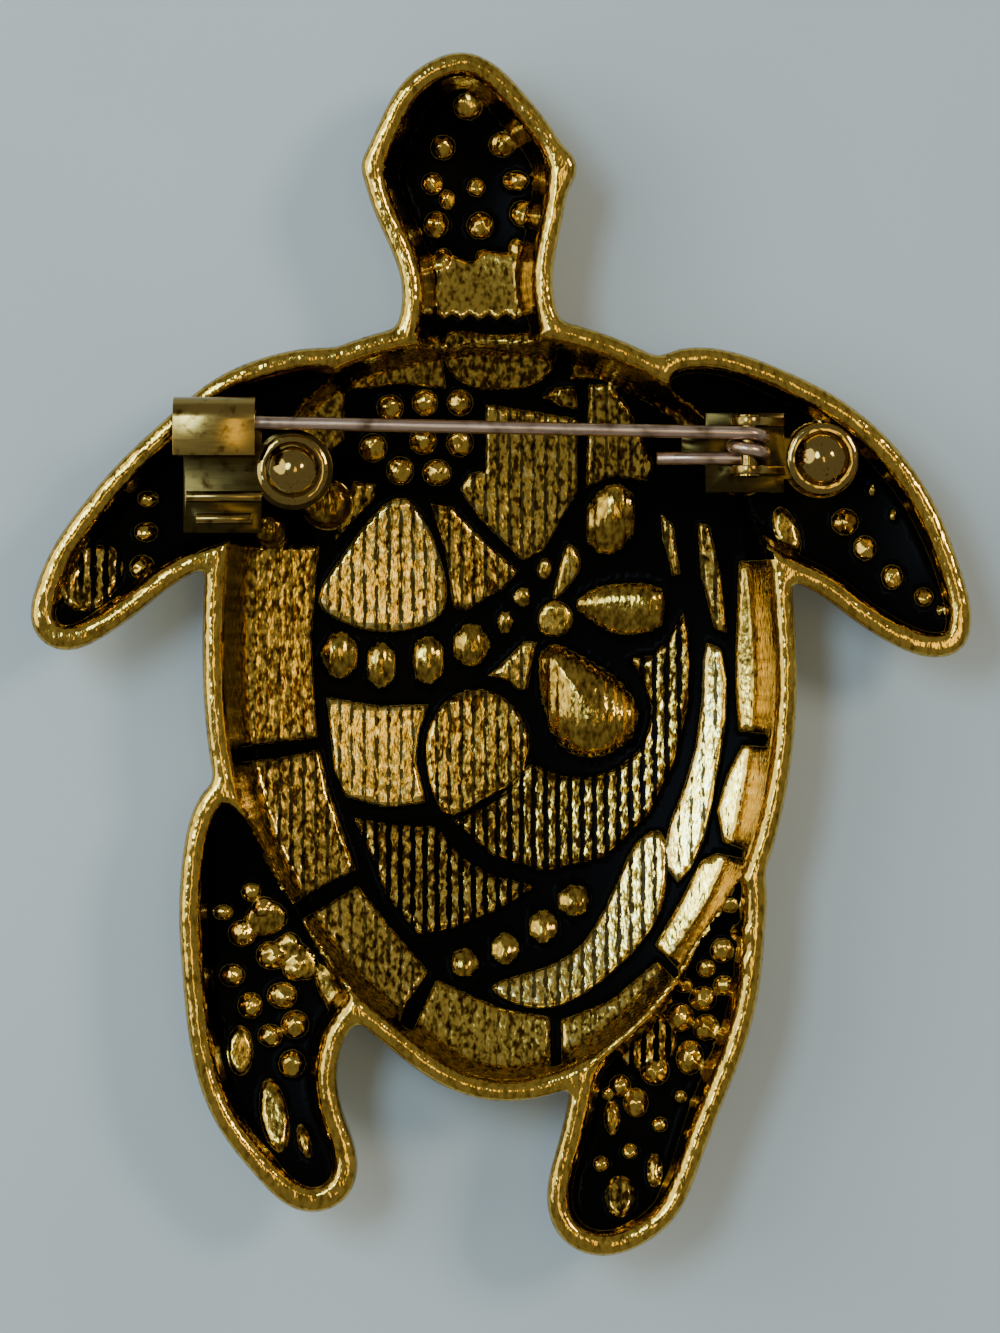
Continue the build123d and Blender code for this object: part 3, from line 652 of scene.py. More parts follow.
class Relief:
    """What stands on the floors at each point: its rise, how far inside its edge, and its looks."""

    def __init__(self, points, floor, owner, sizes):
        self.points = as_seen(points, floor)
        self.in_middle = owner <= list(FORMS).index("head")
        self.rise, self.ribbing, self.polish = np.zeros((3, len(points)))
        self.edge = np.full(len(points), -1.0)
        self.tone = np.full(len(points), 0.3)
        self.plate_rise = sizes.plate_rise / MM
        self.rib_depth = sizes.rib_depth / MM
        self.wave = np.sin(2 * math.pi * points[:, 0] / (sizes.rib_pitch / MM))

    def stand(self, edge, rise, ribs, tone, polish=0.0):
        """Adds a raised thing, where it is nearer than what is there already."""
        groove = ramp(-self.wave, 0.1, 0.8) * ramp(edge, 0.05, 0.25)
        rise = rise - ribs * self.rib_depth * groove
        nearer = edge > self.edge
        self.rise = np.where(edge > 0, np.maximum(self.rise, rise), self.rise)
        self.ribbing[nearer], self.tone[nearer], self.polish[nearer] = ribs, tone, polish
        self.edge = np.maximum(self.edge, edge)

    def add_plates(self):
        """Adds the ribbed plates of the shell and the neck."""
        for loop, tone_and_painted_light, ribs in plate_loops():
            edge = np.where(self.in_middle, depth_inside(self.points, loop), -1.0)
            # A plate's tone is partly painted light: paler where the plate shows brightly lit,
            # browner where it shows dull
            self.stand(edge, self.plate_rise * ramp(edge, -0.02, 0.16), ribs, tone_and_painted_light)

    def add_seats(self):
        """Adds the domed stone seats, in steps across, and the flat scales."""
        column = (np.floor(self.points[:, 0] / SEAT_STEP) + 0.5) * SEAT_STEP
        stepped = self.points.copy()
        stepped[:, 0] = column + STEP_SLOPE * (stepped[:, 0] - column)
        seats = []
        for row in STONE_SEATS:
            share, radius = oval_reach(stepped, *row)
            seats.append(((1 - share) * radius, share, radius))
        for _, reach, outline in LARGE_SEATS:
            loop = smooth_loop([spot(*place) for place in outline], LOOP_SPACING)
            edge = depth_inside(stepped, loop, 3.0)
            radius = reach * ACROSS
            seats.append((np.clip(edge, -2, 2), 1 - np.clip(edge / radius, 0, 1), radius))
        for edge, share, radius in seats:
            dome = DOME_HEIGHT * radius * np.sqrt(np.maximum(1 - share ** 2, 0))
            self.stand(0.5 * edge, dome, 0.0, DOME_TONE, WEAR)
        for *oval, ribs in SCALES:
            share, radius = oval_reach(self.points, *oval)
            edge = (1 - share) * radius
            self.stand(edge, self.plate_rise * ramp(edge, -0.02, 0.2), ribs, 0.4)

    def add_bumps(self):
        """Adds the round bumps, a tenth wider than they were read and a little dented."""
        dents = 1 + 0.35 * lumps(self.points, 0.3)
        for across, down, width, length in BUMPS:
            share, radius = oval_reach(self.points, across, down, 1.1 * width, 1.1 * length)
            ball = BUMP_HEIGHT * radius * np.maximum(1 - share ** 2, 0) ** 0.7 * dents
            self.stand(0.8 * (1 - share) * radius, ball, 0.0, BUMP_TONE, WEAR)


def raise_bosses(points, height):
    """Height with pillars and rivet bores added, and which points lie on a pillar."""
    boss = np.zeros(len(points), bool)
    for place, radius, top in BOSSES:
        away = np.linalg.norm(points - spot(*place), axis=1)
        boss |= away < radius + BOSS_SIDE / 2
        side = RIM_Z * ramp(away, radius - BOSS_SIDE, radius + BOSS_SIDE)
        shoulder = SHOULDER_DROP * ramp(away, radius - SHOULDER_WIDTH, radius)
        pillar = np.maximum(height, top - side - shoulder)
        height = np.where(away < radius + BOSS_SIDE, pillar, height)
    for place, top in ((CATCH_RIVET, CATCH_Z), (HINGE_RIVET, HINGE_Z)):
        away = np.linalg.norm(points - spot(*place), axis=1)
        height = np.where(away < SHANK_RADIUS + SHANK_FIT, top - SHANK_LENGTH - SHANK_FIT, height)
    return height, boss


def keep_apart(groups, cell):
    """The groups of points, each without those too near to a point of an earlier group."""
    kept, taken = [], np.empty(0, int)
    stride = 100000
    for group in groups:
        columns, rows = (np.floor(group / cell).astype(int) + stride // 2).T
        free = ~np.isin(columns * stride + rows, taken)
        kept.append(group[free])
        columns, rows = columns[free], rows[free]
        around = [(columns + i) * stride + rows + j for i in (-1, 0, 1) for j in (-1, 0, 1)]
        taken = np.unique(np.concatenate([taken, *around]))
    return kept


def grid(low, high, step_x, step_y):
    """Points of a grid whose rows are shifted by half a step in turn."""
    rows = []
    for number, y in enumerate(np.arange(low[1], high[1], step_y)):
        x = np.arange(low[0] + (number % 2) * step_x / 2, high[0], step_x)
        rows.append(np.column_stack([x, np.full(len(x), y)]))
    return np.vstack(rows)


def rings_of(loop, insets, spacing):
    """Points along a loop moved in by some distances, but not where another side is nearer."""
    groups = []
    for inset in insets:
        ring = even_loop(loop, spacing)
        ring = ring - inset * outward_normals(ring)
        groups.append(ring[depth_inside(ring, loop) > inset - 0.02])
    return groups


def seat_steps():
    """Points on both sides of each step of the stone seats."""
    groups = []
    for row in STONE_SEATS + [oval for oval, _, _ in LARGE_SEATS]:
        middle, reach = spot(*row[:2]), 0.03 * max(row[2:4])
        low, high = middle - reach, middle + reach
        for edge in np.arange(math.ceil(low[0] / SEAT_STEP), high[0] / SEAT_STEP) * SEAT_STEP:
            for side in (edge - 0.035, edge + 0.035):
                down = np.arange(low[1], high[1], 0.13)
                line = np.column_stack([np.full(len(down), side), down])
                groups.append(line[oval_reach(line, *row)[0] < 1.08])
    return groups


def back_points(border, sizes):
    """Where the back's mesh has its points, densest at the rim, the edges and the bumps."""
    rim_insets = (0.04, 0.11, 0.2, 0.32, 0.45, 0.6, 0.75, 0.92, 1.1, 1.3, 1.5, 1.8)
    rim = rings_of(border, rim_insets, 0.17)
    bores = [
        oval_ring(0, *round_oval(place, radius), spacing=0.12)
        for place in (CATCH_RIVET, HINGE_RIVET)
        for radius in (SHANK_RADIUS, SHANK_RADIUS + 2 * SHANK_FIT)]
    bores += [
        oval_ring(inset, *round_oval(place, radius))
        for place, radius, _ in BOSSES for inset in (-BOSS_SIDE, 0, BOSS_SIDE, SHOULDER_WIDTH)]
    bump_insets = (-0.06, 0, 0.03, 0.1, 0.2, 0.34, 0.5)
    bumps = [oval_ring(inset, *row) for row in BUMPS for inset in bump_insets] + seat_steps()
    edges = [
        oval_ring(inset, *oval, spacing=0.2)
        for *oval, _ in SCALES for inset in (-0.05, 0.06, 0.18)]
    edges += [
        loop - inset * outward_normals(loop)
        for loop, _, _ in plate_loops() for inset in (-0.04, 0.05, 0.15)]
    ridges = [
        ring for name in FORMS
        for ring in rings_of(form_loop(name), (0.5, 0.75, 1.0, 1.3, 1.6, 1.9), 0.22)]
    # Across the shell's ribs the points lie closer, five to a rib
    low, high = border.min(0), border.max(0)
    step = sizes.floor_step / MM
    shell, shell_grid = form_loop("shell"), grid(low, high, sizes.rib_pitch / MM / 5, 1.8 * step)
    other_grid = grid(low, high, step, step)
    floors = [
        shell_grid[depth_inside(shell_grid, shell) > 1.0],
        other_grid[depth_inside(other_grid, shell) <= 1.0]]
    rim, bores, bumps, edges, ridges, floors = map(
        np.vstack, (rim, bores, bumps, edges, ridges, floors))
    groups = [border, rim, bores, as_placed(bumps), as_placed(edges), ridges, floors]
    kept = keep_apart(groups, 0.06)[1:]
    return np.vstack([group[depth_inside(group, border) > 0.03] for group in kept])


def sheet_mesh(border, points):
    """Triangles over a border and points inside it: corners, triangles and the border's corners."""
    corners = [Vector(p) for p in np.vstack([border, points])]
    faces = [list(range(len(border)))]
    places, _, triangles, origins, *_ = delaunay_2d_cdt(corners, [], faces, 1, 1e-6)
    number = {source: index for index, sources in enumerate(origins) for source in sources}
    rim = [number[k] for k in range(len(border))]
    return np.array([tuple(p) for p in places]), [tuple(t) for t in triangles], rim


def back_heights(points, border, sizes):
    """Height of the back at each point, and its layers for the finish."""
    height, floor, owner = hollow(points)
    relief = Relief(points, floor, owner, sizes)
    relief.add_plates()
    relief.add_seats()
    relief.add_bumps()
    # What stands on a floor dies away as the wall climbs
    above = height - floor
    height = np.minimum(height + relief.rise * (1 - ramp(above, 0.9, 2.2)), RIM_Z + 1)
    height, boss = raise_bosses(points, height)
    # The rim is flat on top, with its outer edge rounded over
    edge_in = depth_inside(points, border)
    bead = sizes.bead_radius / MM
    outer = RIM_Z - bead * (1 - np.sqrt(np.clip(1 - (1 - edge_in / bead) ** 2, 0, 1)))
    outer = np.where(edge_in > bead, RIM_Z, outer)
    rim = smooth_min(np.minimum(height, RIM_Z), outer, RIM_ROUNDING)
    height = np.where((height > RIM_Z - 1.2) & (edge_in < 2.0), rim, height)
    # Gold shows on what stands, on the walls above the lacquer and on the rim
    filled = np.array([form[4] for form in FORMS.values()])[owner]
    above_lacquer = height - floor - filled
    on_wall = above_lacquer > relief.edge
    edge = np.maximum(relief.edge, np.clip(above_lacquer, -1, 1))
    edge = np.maximum(edge, 1 - 2.5 * np.maximum(edge_in - 0.8, 0))
    # Walls are painted browner on the left and gold on the right, as painted shade and painted
    # light for the side the light falls on, and the rim is worn bright
    polish = ramp(height, RIM_Z - 1.1, RIM_Z - 0.2)
    climb = np.maximum(np.where(on_wall, 1.0, ramp(above, 0.5, 2.4)), polish)
    wall_painted_light_and_wear = 0.05 + 0.5 * ramp(points[:, 0], -13, 9) * (1 - polish) + 0.5 * polish
    tone = relief.tone + (wall_painted_light_and_wear - relief.tone) * climb
    ribbing = relief.ribbing * (1 - climb)
    edge[boss], tone[boss], ribbing[boss] = 1.0, 0.1, 0.0
    return height, (edge, ribbing, tone, np.maximum(polish, relief.polish))


def front_heights(points, sizes):
    """Height of the front under each point, and its layers for the finish."""
    insets, depths = zip(*OUTER_WALL)
    height = np.full(len(points), RIM_Z - depths[0])
    for name in FORMS:
        inset = depth_inside(points, form_loop(name))
        side = RIM_Z - np.interp(inset, insets, depths)
        rounded = smooth_max(side, ball_under(name, points), SIDE_ROUNDING)
        height = smooth_min(height, np.where(inset > 0, rounded, RIM_Z), VALLEY_ROUNDING)
    # Shallow grooves run round the plates of the shell, just outside their edges
    edge = np.full(len(points), -1.0)
    for loop, _, _ in plate_loops():
        edge = np.maximum(edge, depth_inside(points, loop, 0.6))
    in_shell = ramp(depth_inside(points, form_loop("shell")), 0.2, 0.8)
    groove = in_shell * (1 - ramp(np.abs(edge + 0.12), 0.05, 0.3))
    height = np.maximum(height, 0.0) + sizes.front_groove / MM * groove
    blank = np.zeros(len(points))
    return height, (0.2 - 0.5 * groove, blank, blank + 0.55, blank + 0.4)


def mesh_object(name, places, faces, layers=None):
    """A new smooth object with those places in millimetres, faces and layers of numbers."""
    mesh = bpy.data.meshes.new(name)
    mesh.from_pydata((np.asarray(places) * MM).tolist(), [], faces)
    mesh.polygons.foreach_set("use_smooth", [True] * len(mesh.polygons))
    for layer, values in (layers or {}).items():
        attribute = mesh.attributes.new(layer, "FLOAT", "POINT")
        attribute.data.foreach_set("value", np.asarray(values, np.float32))
    mesh.validate()
    made = bpy.data.objects.new(name, mesh)
    bpy.context.scene.collection.objects.link(made)
    return made


def cast_turtle(sizes):
    """The whole casting as one closed mesh: relief back, plain front and the rim between them."""
    border = silhouette(0.16)
    back, back_faces, back_rim = sheet_mesh(border, back_points(border, sizes))
    rings = rings_of(border, (0.25, 0.55, 0.9, 1.3), 0.4)
    coarse = keep_apart([border, *rings, grid(border.min(0), border.max(0), 0.42, 0.42)], 0.14)[1:]
    inner = np.vstack([group[depth_inside(group, border) > 0.1] for group in coarse])
    front, front_faces, front_rim = sheet_mesh(border, inner)
    back_z, back_layers = back_heights(back, border, sizes)
    front_z, front_layers = front_heights(front, sizes)
    front_z = front_z - front_z.min()
    places = np.vstack([np.column_stack([back, back_z]), np.column_stack([front, front_z])])
    shift = len(back)
    faces = back_faces + [tuple(shift + k for k in reversed(face)) for face in front_faces]
    for i in range(len(border)):
        j = (i + 1) % len(border)
        faces.append((back_rim[j], back_rim[i], shift + front_rim[i], shift + front_rim[j]))
    # The mesh fills the CAD casting's box exactly
    low, high = places[:, :2].min(0), places[:, :2].max(0)
    box_low, box_high = CASTING_BOX[:, :2]
    places[:, :2] = box_low + (places[:, :2] - low) / (high - low) * (box_high - box_low)
    layers = {
        layer: np.concatenate(values) for layer, *values in zip(LAYERS, back_layers, front_layers)}
    return mesh_object("turtle_casting", places, faces, layers)


# Solids for the fittings


def prism(outline, axis, start, depth):
    """A closed solid: a flat outline pushed along X, Y or Z, its points in the other two."""
    shape = bmesh.new()
    axis = "XYZ".index(axis)
    ends = [
        [shape.verts.new((*point[:axis], level, *point[axis:])) for point in outline]
        for level in (start, start + depth)]
    shape.faces.new(ends[0])
    shape.faces.new(reversed(ends[1]))
    for i in range(len(outline)):
        j = (i + 1) % len(outline)
        shape.faces.new((ends[0][j], ends[0][i], ends[1][i], ends[1][j]))
    bmesh.ops.recalc_face_normals(shape, faces=shape.faces)
    mesh = bpy.data.meshes.new("prism")
    shape.to_mesh(mesh)
    shape.free()
    made = bpy.data.objects.new("prism", mesh)
    bpy.context.scene.collection.objects.link(made)
    return made


def arc(centre, radius, first, last, steps):
    """Points along an arc, angles in degrees."""
    angles = np.radians(np.linspace(first, last, steps))
    return [(centre[0] + radius * math.cos(t), centre[1] + radius * math.sin(t)) for t in angles]


def circle(centre, radius, sides):
    """Points round a circle."""
    return arc(centre, radius, 0, 360 - 360 / sides, sides)


def rectangle(left, right, bottom, top):
    """The corners of a rectangle."""
    return [(left, bottom), (right, bottom), (right, top), (left, top)]


def rivet_lug(rivet, base_edge, radius, level):
    """The round lug under a rivet and the neck that joins it to a base, and the rivet's hole."""
    x, y = spot(*rivet)
    neck = rectangle(base_edge - SHEET, x, y - LUG_NECK / 2, y + LUG_NECK / 2)
    lug = [prism(line, "Z", level, SHEET) for line in (neck, circle((x, y), radius, 48))]
    return lug, prism(circle((x, y), SHANK_RADIUS + SHANK_FIT, 48), "Z", level - 1, 3)


def settle(made, modifier_type, **choices):
    """Adds a modifier and puts its result in the object's own mesh."""
    modifier = made.modifiers.new(modifier_type.lower(), modifier_type)
    for name, value in choices.items():
        setattr(modifier, name, value)
    bpy.context.view_layer.update()
    evaluated = made.evaluated_get(bpy.context.evaluated_depsgraph_get())
    mesh = bpy.data.meshes.new_from_object(evaluated)
    made.modifiers.clear()
    made.data = mesh


def join_solids(name, solids, holes):
    """One closed fitting from overlapping solids, less its holes, with rounded edges."""
    body, *others = solids
    for operation, tools in (("UNION", others), ("DIFFERENCE", holes)):
        for tool in tools:
            settle(body, "BOOLEAN", object=tool, operation=operation, solver="EXACT")
            bpy.data.objects.remove(tool)
    settle(
        body, "BEVEL", width=settings().fittings.edge_rounding / MM, segments=2,
        limit_method="ANGLE", angle_limit=math.radians(35), use_clamp_overlap=True)
    body.data.transform(Matrix.Scale(MM, 4))
    body.name = body.data.name = name
    body.data.polygons.foreach_set("use_smooth", [True] * len(body.data.polygons))
    body.data.set_sharp_from_angle(angle=math.radians(40))
    return body


def turned(name, profile, centre, axis):
    """A turned solid: a profile of (radius, height) rows, its first and last on the axis."""
    sides = settings().fittings.turned_sides
    turn = Vector((0, 0, 1)).rotation_difference(Vector(axis))
    places, faces, rings = [], [], []
    for radius, height in profile:
        count = 1 if radius == 0 else sides
        rings.append(range(len(places), len(places) + count))
        for angle in np.linspace(0, 2 * math.pi, count, endpoint=False):
            places.append((radius * math.cos(angle), radius * math.sin(angle), height))
    for lower, upper in zip(rings, rings[1:]):
        for i in range(sides):
            pair = (i, (i + 1) % sides)
            corners = [lower[k % len(lower)] for k in pair]
            corners += [upper[k % len(upper)] for k in reversed(pair)]
            faces.append(tuple(dict.fromkeys(corners)))
    placed = [tuple(turn @ Vector(p) + Vector(centre)) for p in places]
    made = mesh_object(name, placed, faces)
    made.data.set_sharp_from_angle(angle=math.radians(50))
    return made


def swept_wire(name, path, radii):
    """A closed round wire along a path, with its own radius at each point."""
    sides = settings().fittings.wire_sides
    path = [Vector(p) for p in path]
    ends = zip([path[0], *path], [*path[1:], path[-1]])
    tangents = [(after - before).normalized() for before, after in ends]
    across = tangents[0].orthogonal().normalized()
    places, faces = [], []
    for i, (point, tangent, radius) in enumerate(zip(path, tangents, radii)):
        across = (across - tangent * across.dot(tangent)).normalized()
        other = tangent.cross(across)
        for angle in np.linspace(0, 2 * math.pi, sides, endpoint=False):
            outward = math.cos(angle) * across + math.sin(angle) * other
            places.append(tuple(point + outward * float(radius)))
        for k in range(sides if i else 0):
            j = (k + 1) % sides
            faces.append(((i - 1) * sides + k, (i - 1) * sides + j, i * sides + j, i * sides + k))
    last = (len(path) - 1) * sides
    faces.append(tuple(reversed(range(sides))))
    faces.append(tuple(range(last, last + sides)))
    return mesh_object(name, places, faces)


# Finishes

# How two kinds of node are used, and the sockets of a Mix node on colours
SMOOTH = {"interpolation_type": "SMOOTHSTEP"}
BLEND = {"output": 2, "data_type": "RGBA"}
SHARE, FIRST, SECOND = 0, 6, 7


def add_node(tree, kind, inputs=(), output=0, **choices):
    """Adds a node with its settings and its inputs, values or links, and gives one output."""
    made = tree.nodes.new("ShaderNode" + kind)
    for name, value in choices.items():
        setattr(made, name, value)
    for key, value in inputs.items() if isinstance(inputs, dict) else enumerate(inputs):
        socket = made.inputs[key]
        if isinstance(value, bpy.types.NodeSocket):
            tree.links.new(value, socket)
        else:
            socket.default_value = (*value[:3], 1.0) if socket.type == "RGBA" else value
    return made.outputs[output] if made.outputs else None


def new_material(name, *patterns):
    """An empty material, the function that adds its nodes, the place on the piece and its patterns.

    Each pattern goes from 0 to 1 and is given as the size of its lumps in millimetres, its detail
    and how far it is stretched along X, Y and Z.
    """
    material = bpy.data.materials.new(name)
    material.use_nodes = True
    material.node_tree.nodes.clear()
    node = partial(add_node, material.node_tree)
    place, made = node("TexCoord", output="Object"), []
    for size_mm, detail, stretch in patterns:
        stretched = node("Mapping", {"Vector": place, "Scale": [1 / s for s in stretch]})
        look = {"Vector": stretched, "Scale": 1 / (size_mm * MM), "Detail": detail}
        made.append(node("TexNoise", look))
    return material, node, place, made


def complete(node, looks, height=None, strength=1.0, relief_mm=0.0):
    """Ends a material: its bumps with their height in millimetres, its shader and the output."""
    if height is not None:
        looks["Normal"] = node(
            "Bump", {"Height": height, "Strength": strength, "Distance": relief_mm * MM})
    node("OutputMaterial", {"Surface": node("BsdfPrincipled", looks)})


def cast_gold_material():
    """Zinc alloy, cast, gold plated, lacquered black and wiped.

    It gives the eye a dented skin with painted glints, pale where wear has polished it and where
    plates are painted as brightly lit, brown in stained patches and as painted shade on left walls
    and dull plates, and black in every recess.
    """
    material, node, place, patterns = new_material(
        "zinc_alloy_cast_gold_plated_black_lacquered",
        (0.16, 2.0, (1, 1, 1)),  # Specks of lacquer that wiping leaves
        (0.14, 2.0, (1, 4, 1)),  # Streaks that the milling cutter leaves along the ribs
        (0.22, 1.0, (1, 1.8, 1)),  # Painted glints: flecks painted pale or brown where facets would catch or miss the light
        (0.8, 2.0, (0.4, 1.8, 1)),  # Patches of tarnish
        (0.2, 1.0, (1, 2, 1)),  # Dents of the cast skin
        (0.07, 2.0, (1, 1, 1)),  # Its grit, really about 0.03 mm, drawn coarser so that it shows
        (1.1, 1.0, (1, 1, 1)))  # Waves of the cast skin
    specks, streaks, glints, patches, dents, grit, waves = patterns
    finishes, pitch = settings().finishes, settings().casting.rib_pitch
    edge, ribbing, tone, polish = (
        node("Attribute", output="Fac", attribute_name=layer) for layer in LAYERS)
    # How far each of the first four lies over or under its middle
    speckled, streaked, glinting, patchy = (
        node("Math", (pattern, 0.5), operation="SUBTRACT")
        for pattern in (specks, streaks, glints, patches))
    # The lacquer's edge wanders by up to a twentieth of a millimetre, as wiping leaves it
    wandering = node("Math", (speckled, 0.1, edge), operation="MULTIPLY_ADD")
    wiped = node("MapRange", (wandering, 0.03, 0.07), **SMOOTH)
    # Lacquer stays between the milled ribs, broken where the streaks are high
    x = node("SeparateXYZ", (place,), "X")
    turn = node("Math", (x, 2 * math.pi / pitch), operation="MULTIPLY")
    wave = node("Math", (turn,), operation="SINE")
    broken_wave = node("Math", (streaked, 3.4, wave), operation="MULTIPLY_ADD")
    shallow = node("Math", (1.0, ribbing), operation="SUBTRACT")
    crest = node("Math", (shallow, 2.2, broken_wave), operation="MULTIPLY_ADD")
    bare = node("MapRange", (crest, -0.15, 0.15), **SMOOTH)
    # Where the milling is shallow the lacquer is thin, and the gold shows brown through it
    thin = node("Math", (shallow, 0.3), operation="MULTIPLY")
    shown = node("Math", (bare, thin), operation="MAXIMUM")
    cover = node("Math", (wiped, shown), operation="MULTIPLY")
    # Gold goes from stained brown to pale in patches, and painted glints, flecks painted pale or
    # brown, show most where it is milled
    shade = node("Math", (patchy, 0.5, tone), operation="MULTIPLY_ADD")
    painted_glint_strength = node("Math", (ribbing, 2.8, 0.9), operation="MULTIPLY_ADD")
    lit = node("Math", (glinting, painted_glint_strength, shade), operation="MULTIPLY_ADD")
    golden = node("MapRange", (lit, 0.0, 0.75), **SMOOTH)
    pale = node("MapRange", (lit, 0.85, 1.4), **SMOOTH)
    gold = node("Mix", {SHARE: golden, FIRST: finishes.brown_gold_stain_and_shade, SECOND: finishes.gold}, **BLEND)
    gold = node("Mix", {SHARE: pale, FIRST: gold, SECOND: finishes.pale_gold_wear_and_highlight}, **BLEND)
    gold_or_black = node("Mix", {SHARE: cover, FIRST: finishes.lacquer_and_painted_dark, SECOND: gold}, **BLEND)
    # Plating is smoothest where it is worn, and the lacquer in the recesses mirrors next to nothing
    smoothed = node("Math", (polish, -0.3, specks), operation="MULTIPLY_ADD")
    plated = node("MapRange", (smoothed, 0.2, 0.8, 0.1, 0.24), **SMOOTH)
    roughness = node("MapRange", (cover, 0.0, 1.0, 0.25, plated))
    # The cast skin shows through the plating, and its waves most where it is worn bright
    skin = node("Math", (grit, 0.03, dents), operation="MULTIPLY_ADD")
    waviness = node("Math", (polish, 2.5, 1.0), operation="MULTIPLY_ADD")
    uneven = node("Math", (waves, waviness, skin), operation="MULTIPLY_ADD")
    looks = {
        "Base Color": gold_or_black, "Metallic": cover, "Roughness": roughness,
        "Specular IOR Level": 0.01}
    complete(node, looks, uneven, cover, 0.022)
    return material


def sheet_material(base_top):
    """Brass sheet, rolled, pressed and gold plated.

    It gives the eye a soft mirror with faint lines across it and brown stains in its gold, and its
    flat base painted near black, a painted dark reflection of the room above it.
    """
    material, node, place, (lines, spots) = new_material(
        "brass_sheet_pressed_gold_plated",
        (0.12, 2.0, (12, 1, 1)),  # Rolling lines, really about 0.05 mm, coarser so that they show
        (0.6, 3.0, (1, 1, 1)))  # Spots of tarnish
    finishes = settings().finishes
    stained = node("MapRange", (spots, 0.5, 0.75), **SMOOTH)
    # The flat base, below the hood and beads, is painted near black: a painted reflection of the
    # dark room above it
    z = node("SeparateXYZ", (place,), "Z")
    low, high = (base_top + 0.02) * MM, (base_top + 0.08) * MM
    bare = node("MapRange", (z, low, high, 0.16, 1.0), **SMOOTH)
    gold = node(
        "Mix", {SHARE: stained, FIRST: finishes.sheet_gold, SECOND: finishes.brown_gold_stain_and_shade}, **BLEND)
    gold_or_black = node("Mix", {SHARE: bare, FIRST: finishes.lacquer_and_painted_dark, SECOND: gold}, **BLEND)
    roughness = node("MapRange", (lines, 0.2, 0.8, 0.16, 0.24), **SMOOTH)
    looks = {"Base Color": gold_or_black, "Metallic": 1.0, "Roughness": roughness}
    complete(node, looks, lines, 0.2, 0.002)
    return material


def rivet_material():
    """Brass rivet, headed under a hammer and gold plated.

    It gives the eye a bright mirror, with soft dents from the hammer and dark specks.
    """
    material, node, _, (dents, specks) = new_material(
        "brass_rivet_headed_gold_plated",
        (0.5, 1.0, (1, 1, 1)),  # Dents from the hammer
        (0.12, 2.0, (1, 1, 1)))  # Specks of tarnish
    finishes = settings().finishes
    speckled = node("MapRange", (specks, 0.6, 0.75), **SMOOTH)
    gold = node(
        "Mix", {SHARE: speckled, FIRST: finishes.sheet_gold, SECOND: finishes.brown_gold_stain_and_shade}, **BLEND)
    roughness = node("MapRange", (specks, 0.3, 0.8, 0.05, 0.15), **SMOOTH)
    looks = {"Base Color": gold, "Metallic": 1.0, "Roughness": roughness}
    complete(node, looks, dents, 0.6, 0.04)
    return material


def wire_material():
    """Spring steel wire, drawn and nickel plated.

    It gives the eye fine lines along it from the drawing die, and a shine that brown stains break.
    """
    material, node, _, (lines, stains) = new_material(
        "spring_steel_wire_drawn_nickel_plated",
        (0.06, 3.0, (40, 1, 1)),  # Drawing lines, really about 0.02 mm, coarser so that they show
        (1.2, 2.0, (1, 1, 1)))  # Brown stains
    finishes = settings().finishes
    stained = node("MapRange", (stains, 0.45, 0.8), **SMOOTH)
    steel = node(
        "Mix", {SHARE: stained, FIRST: finishes.steel, SECOND: finishes.brown_gold_stain_and_shade}, **BLEND)
    roughness = node("MapRange", (lines, 0.25, 0.75, 0.22, 0.42), **SMOOTH)
    looks = {"Base Color": steel, "Metallic": 1.0, "Roughness": roughness}
    complete(node, looks, lines, 0.4, 0.008)
    return material


def table_material():
    """Board, coated. It gives the eye a pale matt table with a faint cloudy tint."""
    material, node, _, (clouds,) = new_material(
        "board_coated_pale",
        (30, 2.0, (1, 1, 1)))  # Clouds of tint
    pale = settings().finishes.floor
    cloudy = node("MapRange", (clouds, 0.3, 0.7), **SMOOTH)
    tinted = node("Mix", {SHARE: cloudy, FIRST: pale, SECOND: [0.93 * c for c in pale]}, **BLEND)
    complete(node, {"Base Color": tinted, "Roughness": 0.6})
    return material


def dress(made, material, body, node):
    """Gives a piece its material and its body, and hides the CAD node it stands for."""
    made.data.materials.clear()
    made.data.materials.append(material)
    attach(made, body)
    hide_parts(node)


# Operators


class BROOCH_OT_casting(bpy.types.Operator):
    """Makes the hollow casting with its relief, lacquer and gold"""

    bl_idname = "brooch.casting"
    bl_label = "Casting"

    def execute(self, context):
        turtle = cast_turtle(settings().casting)
        dress(turtle, cast_gold_material(), "brooch", "casting")
        return {"FINISHED"}


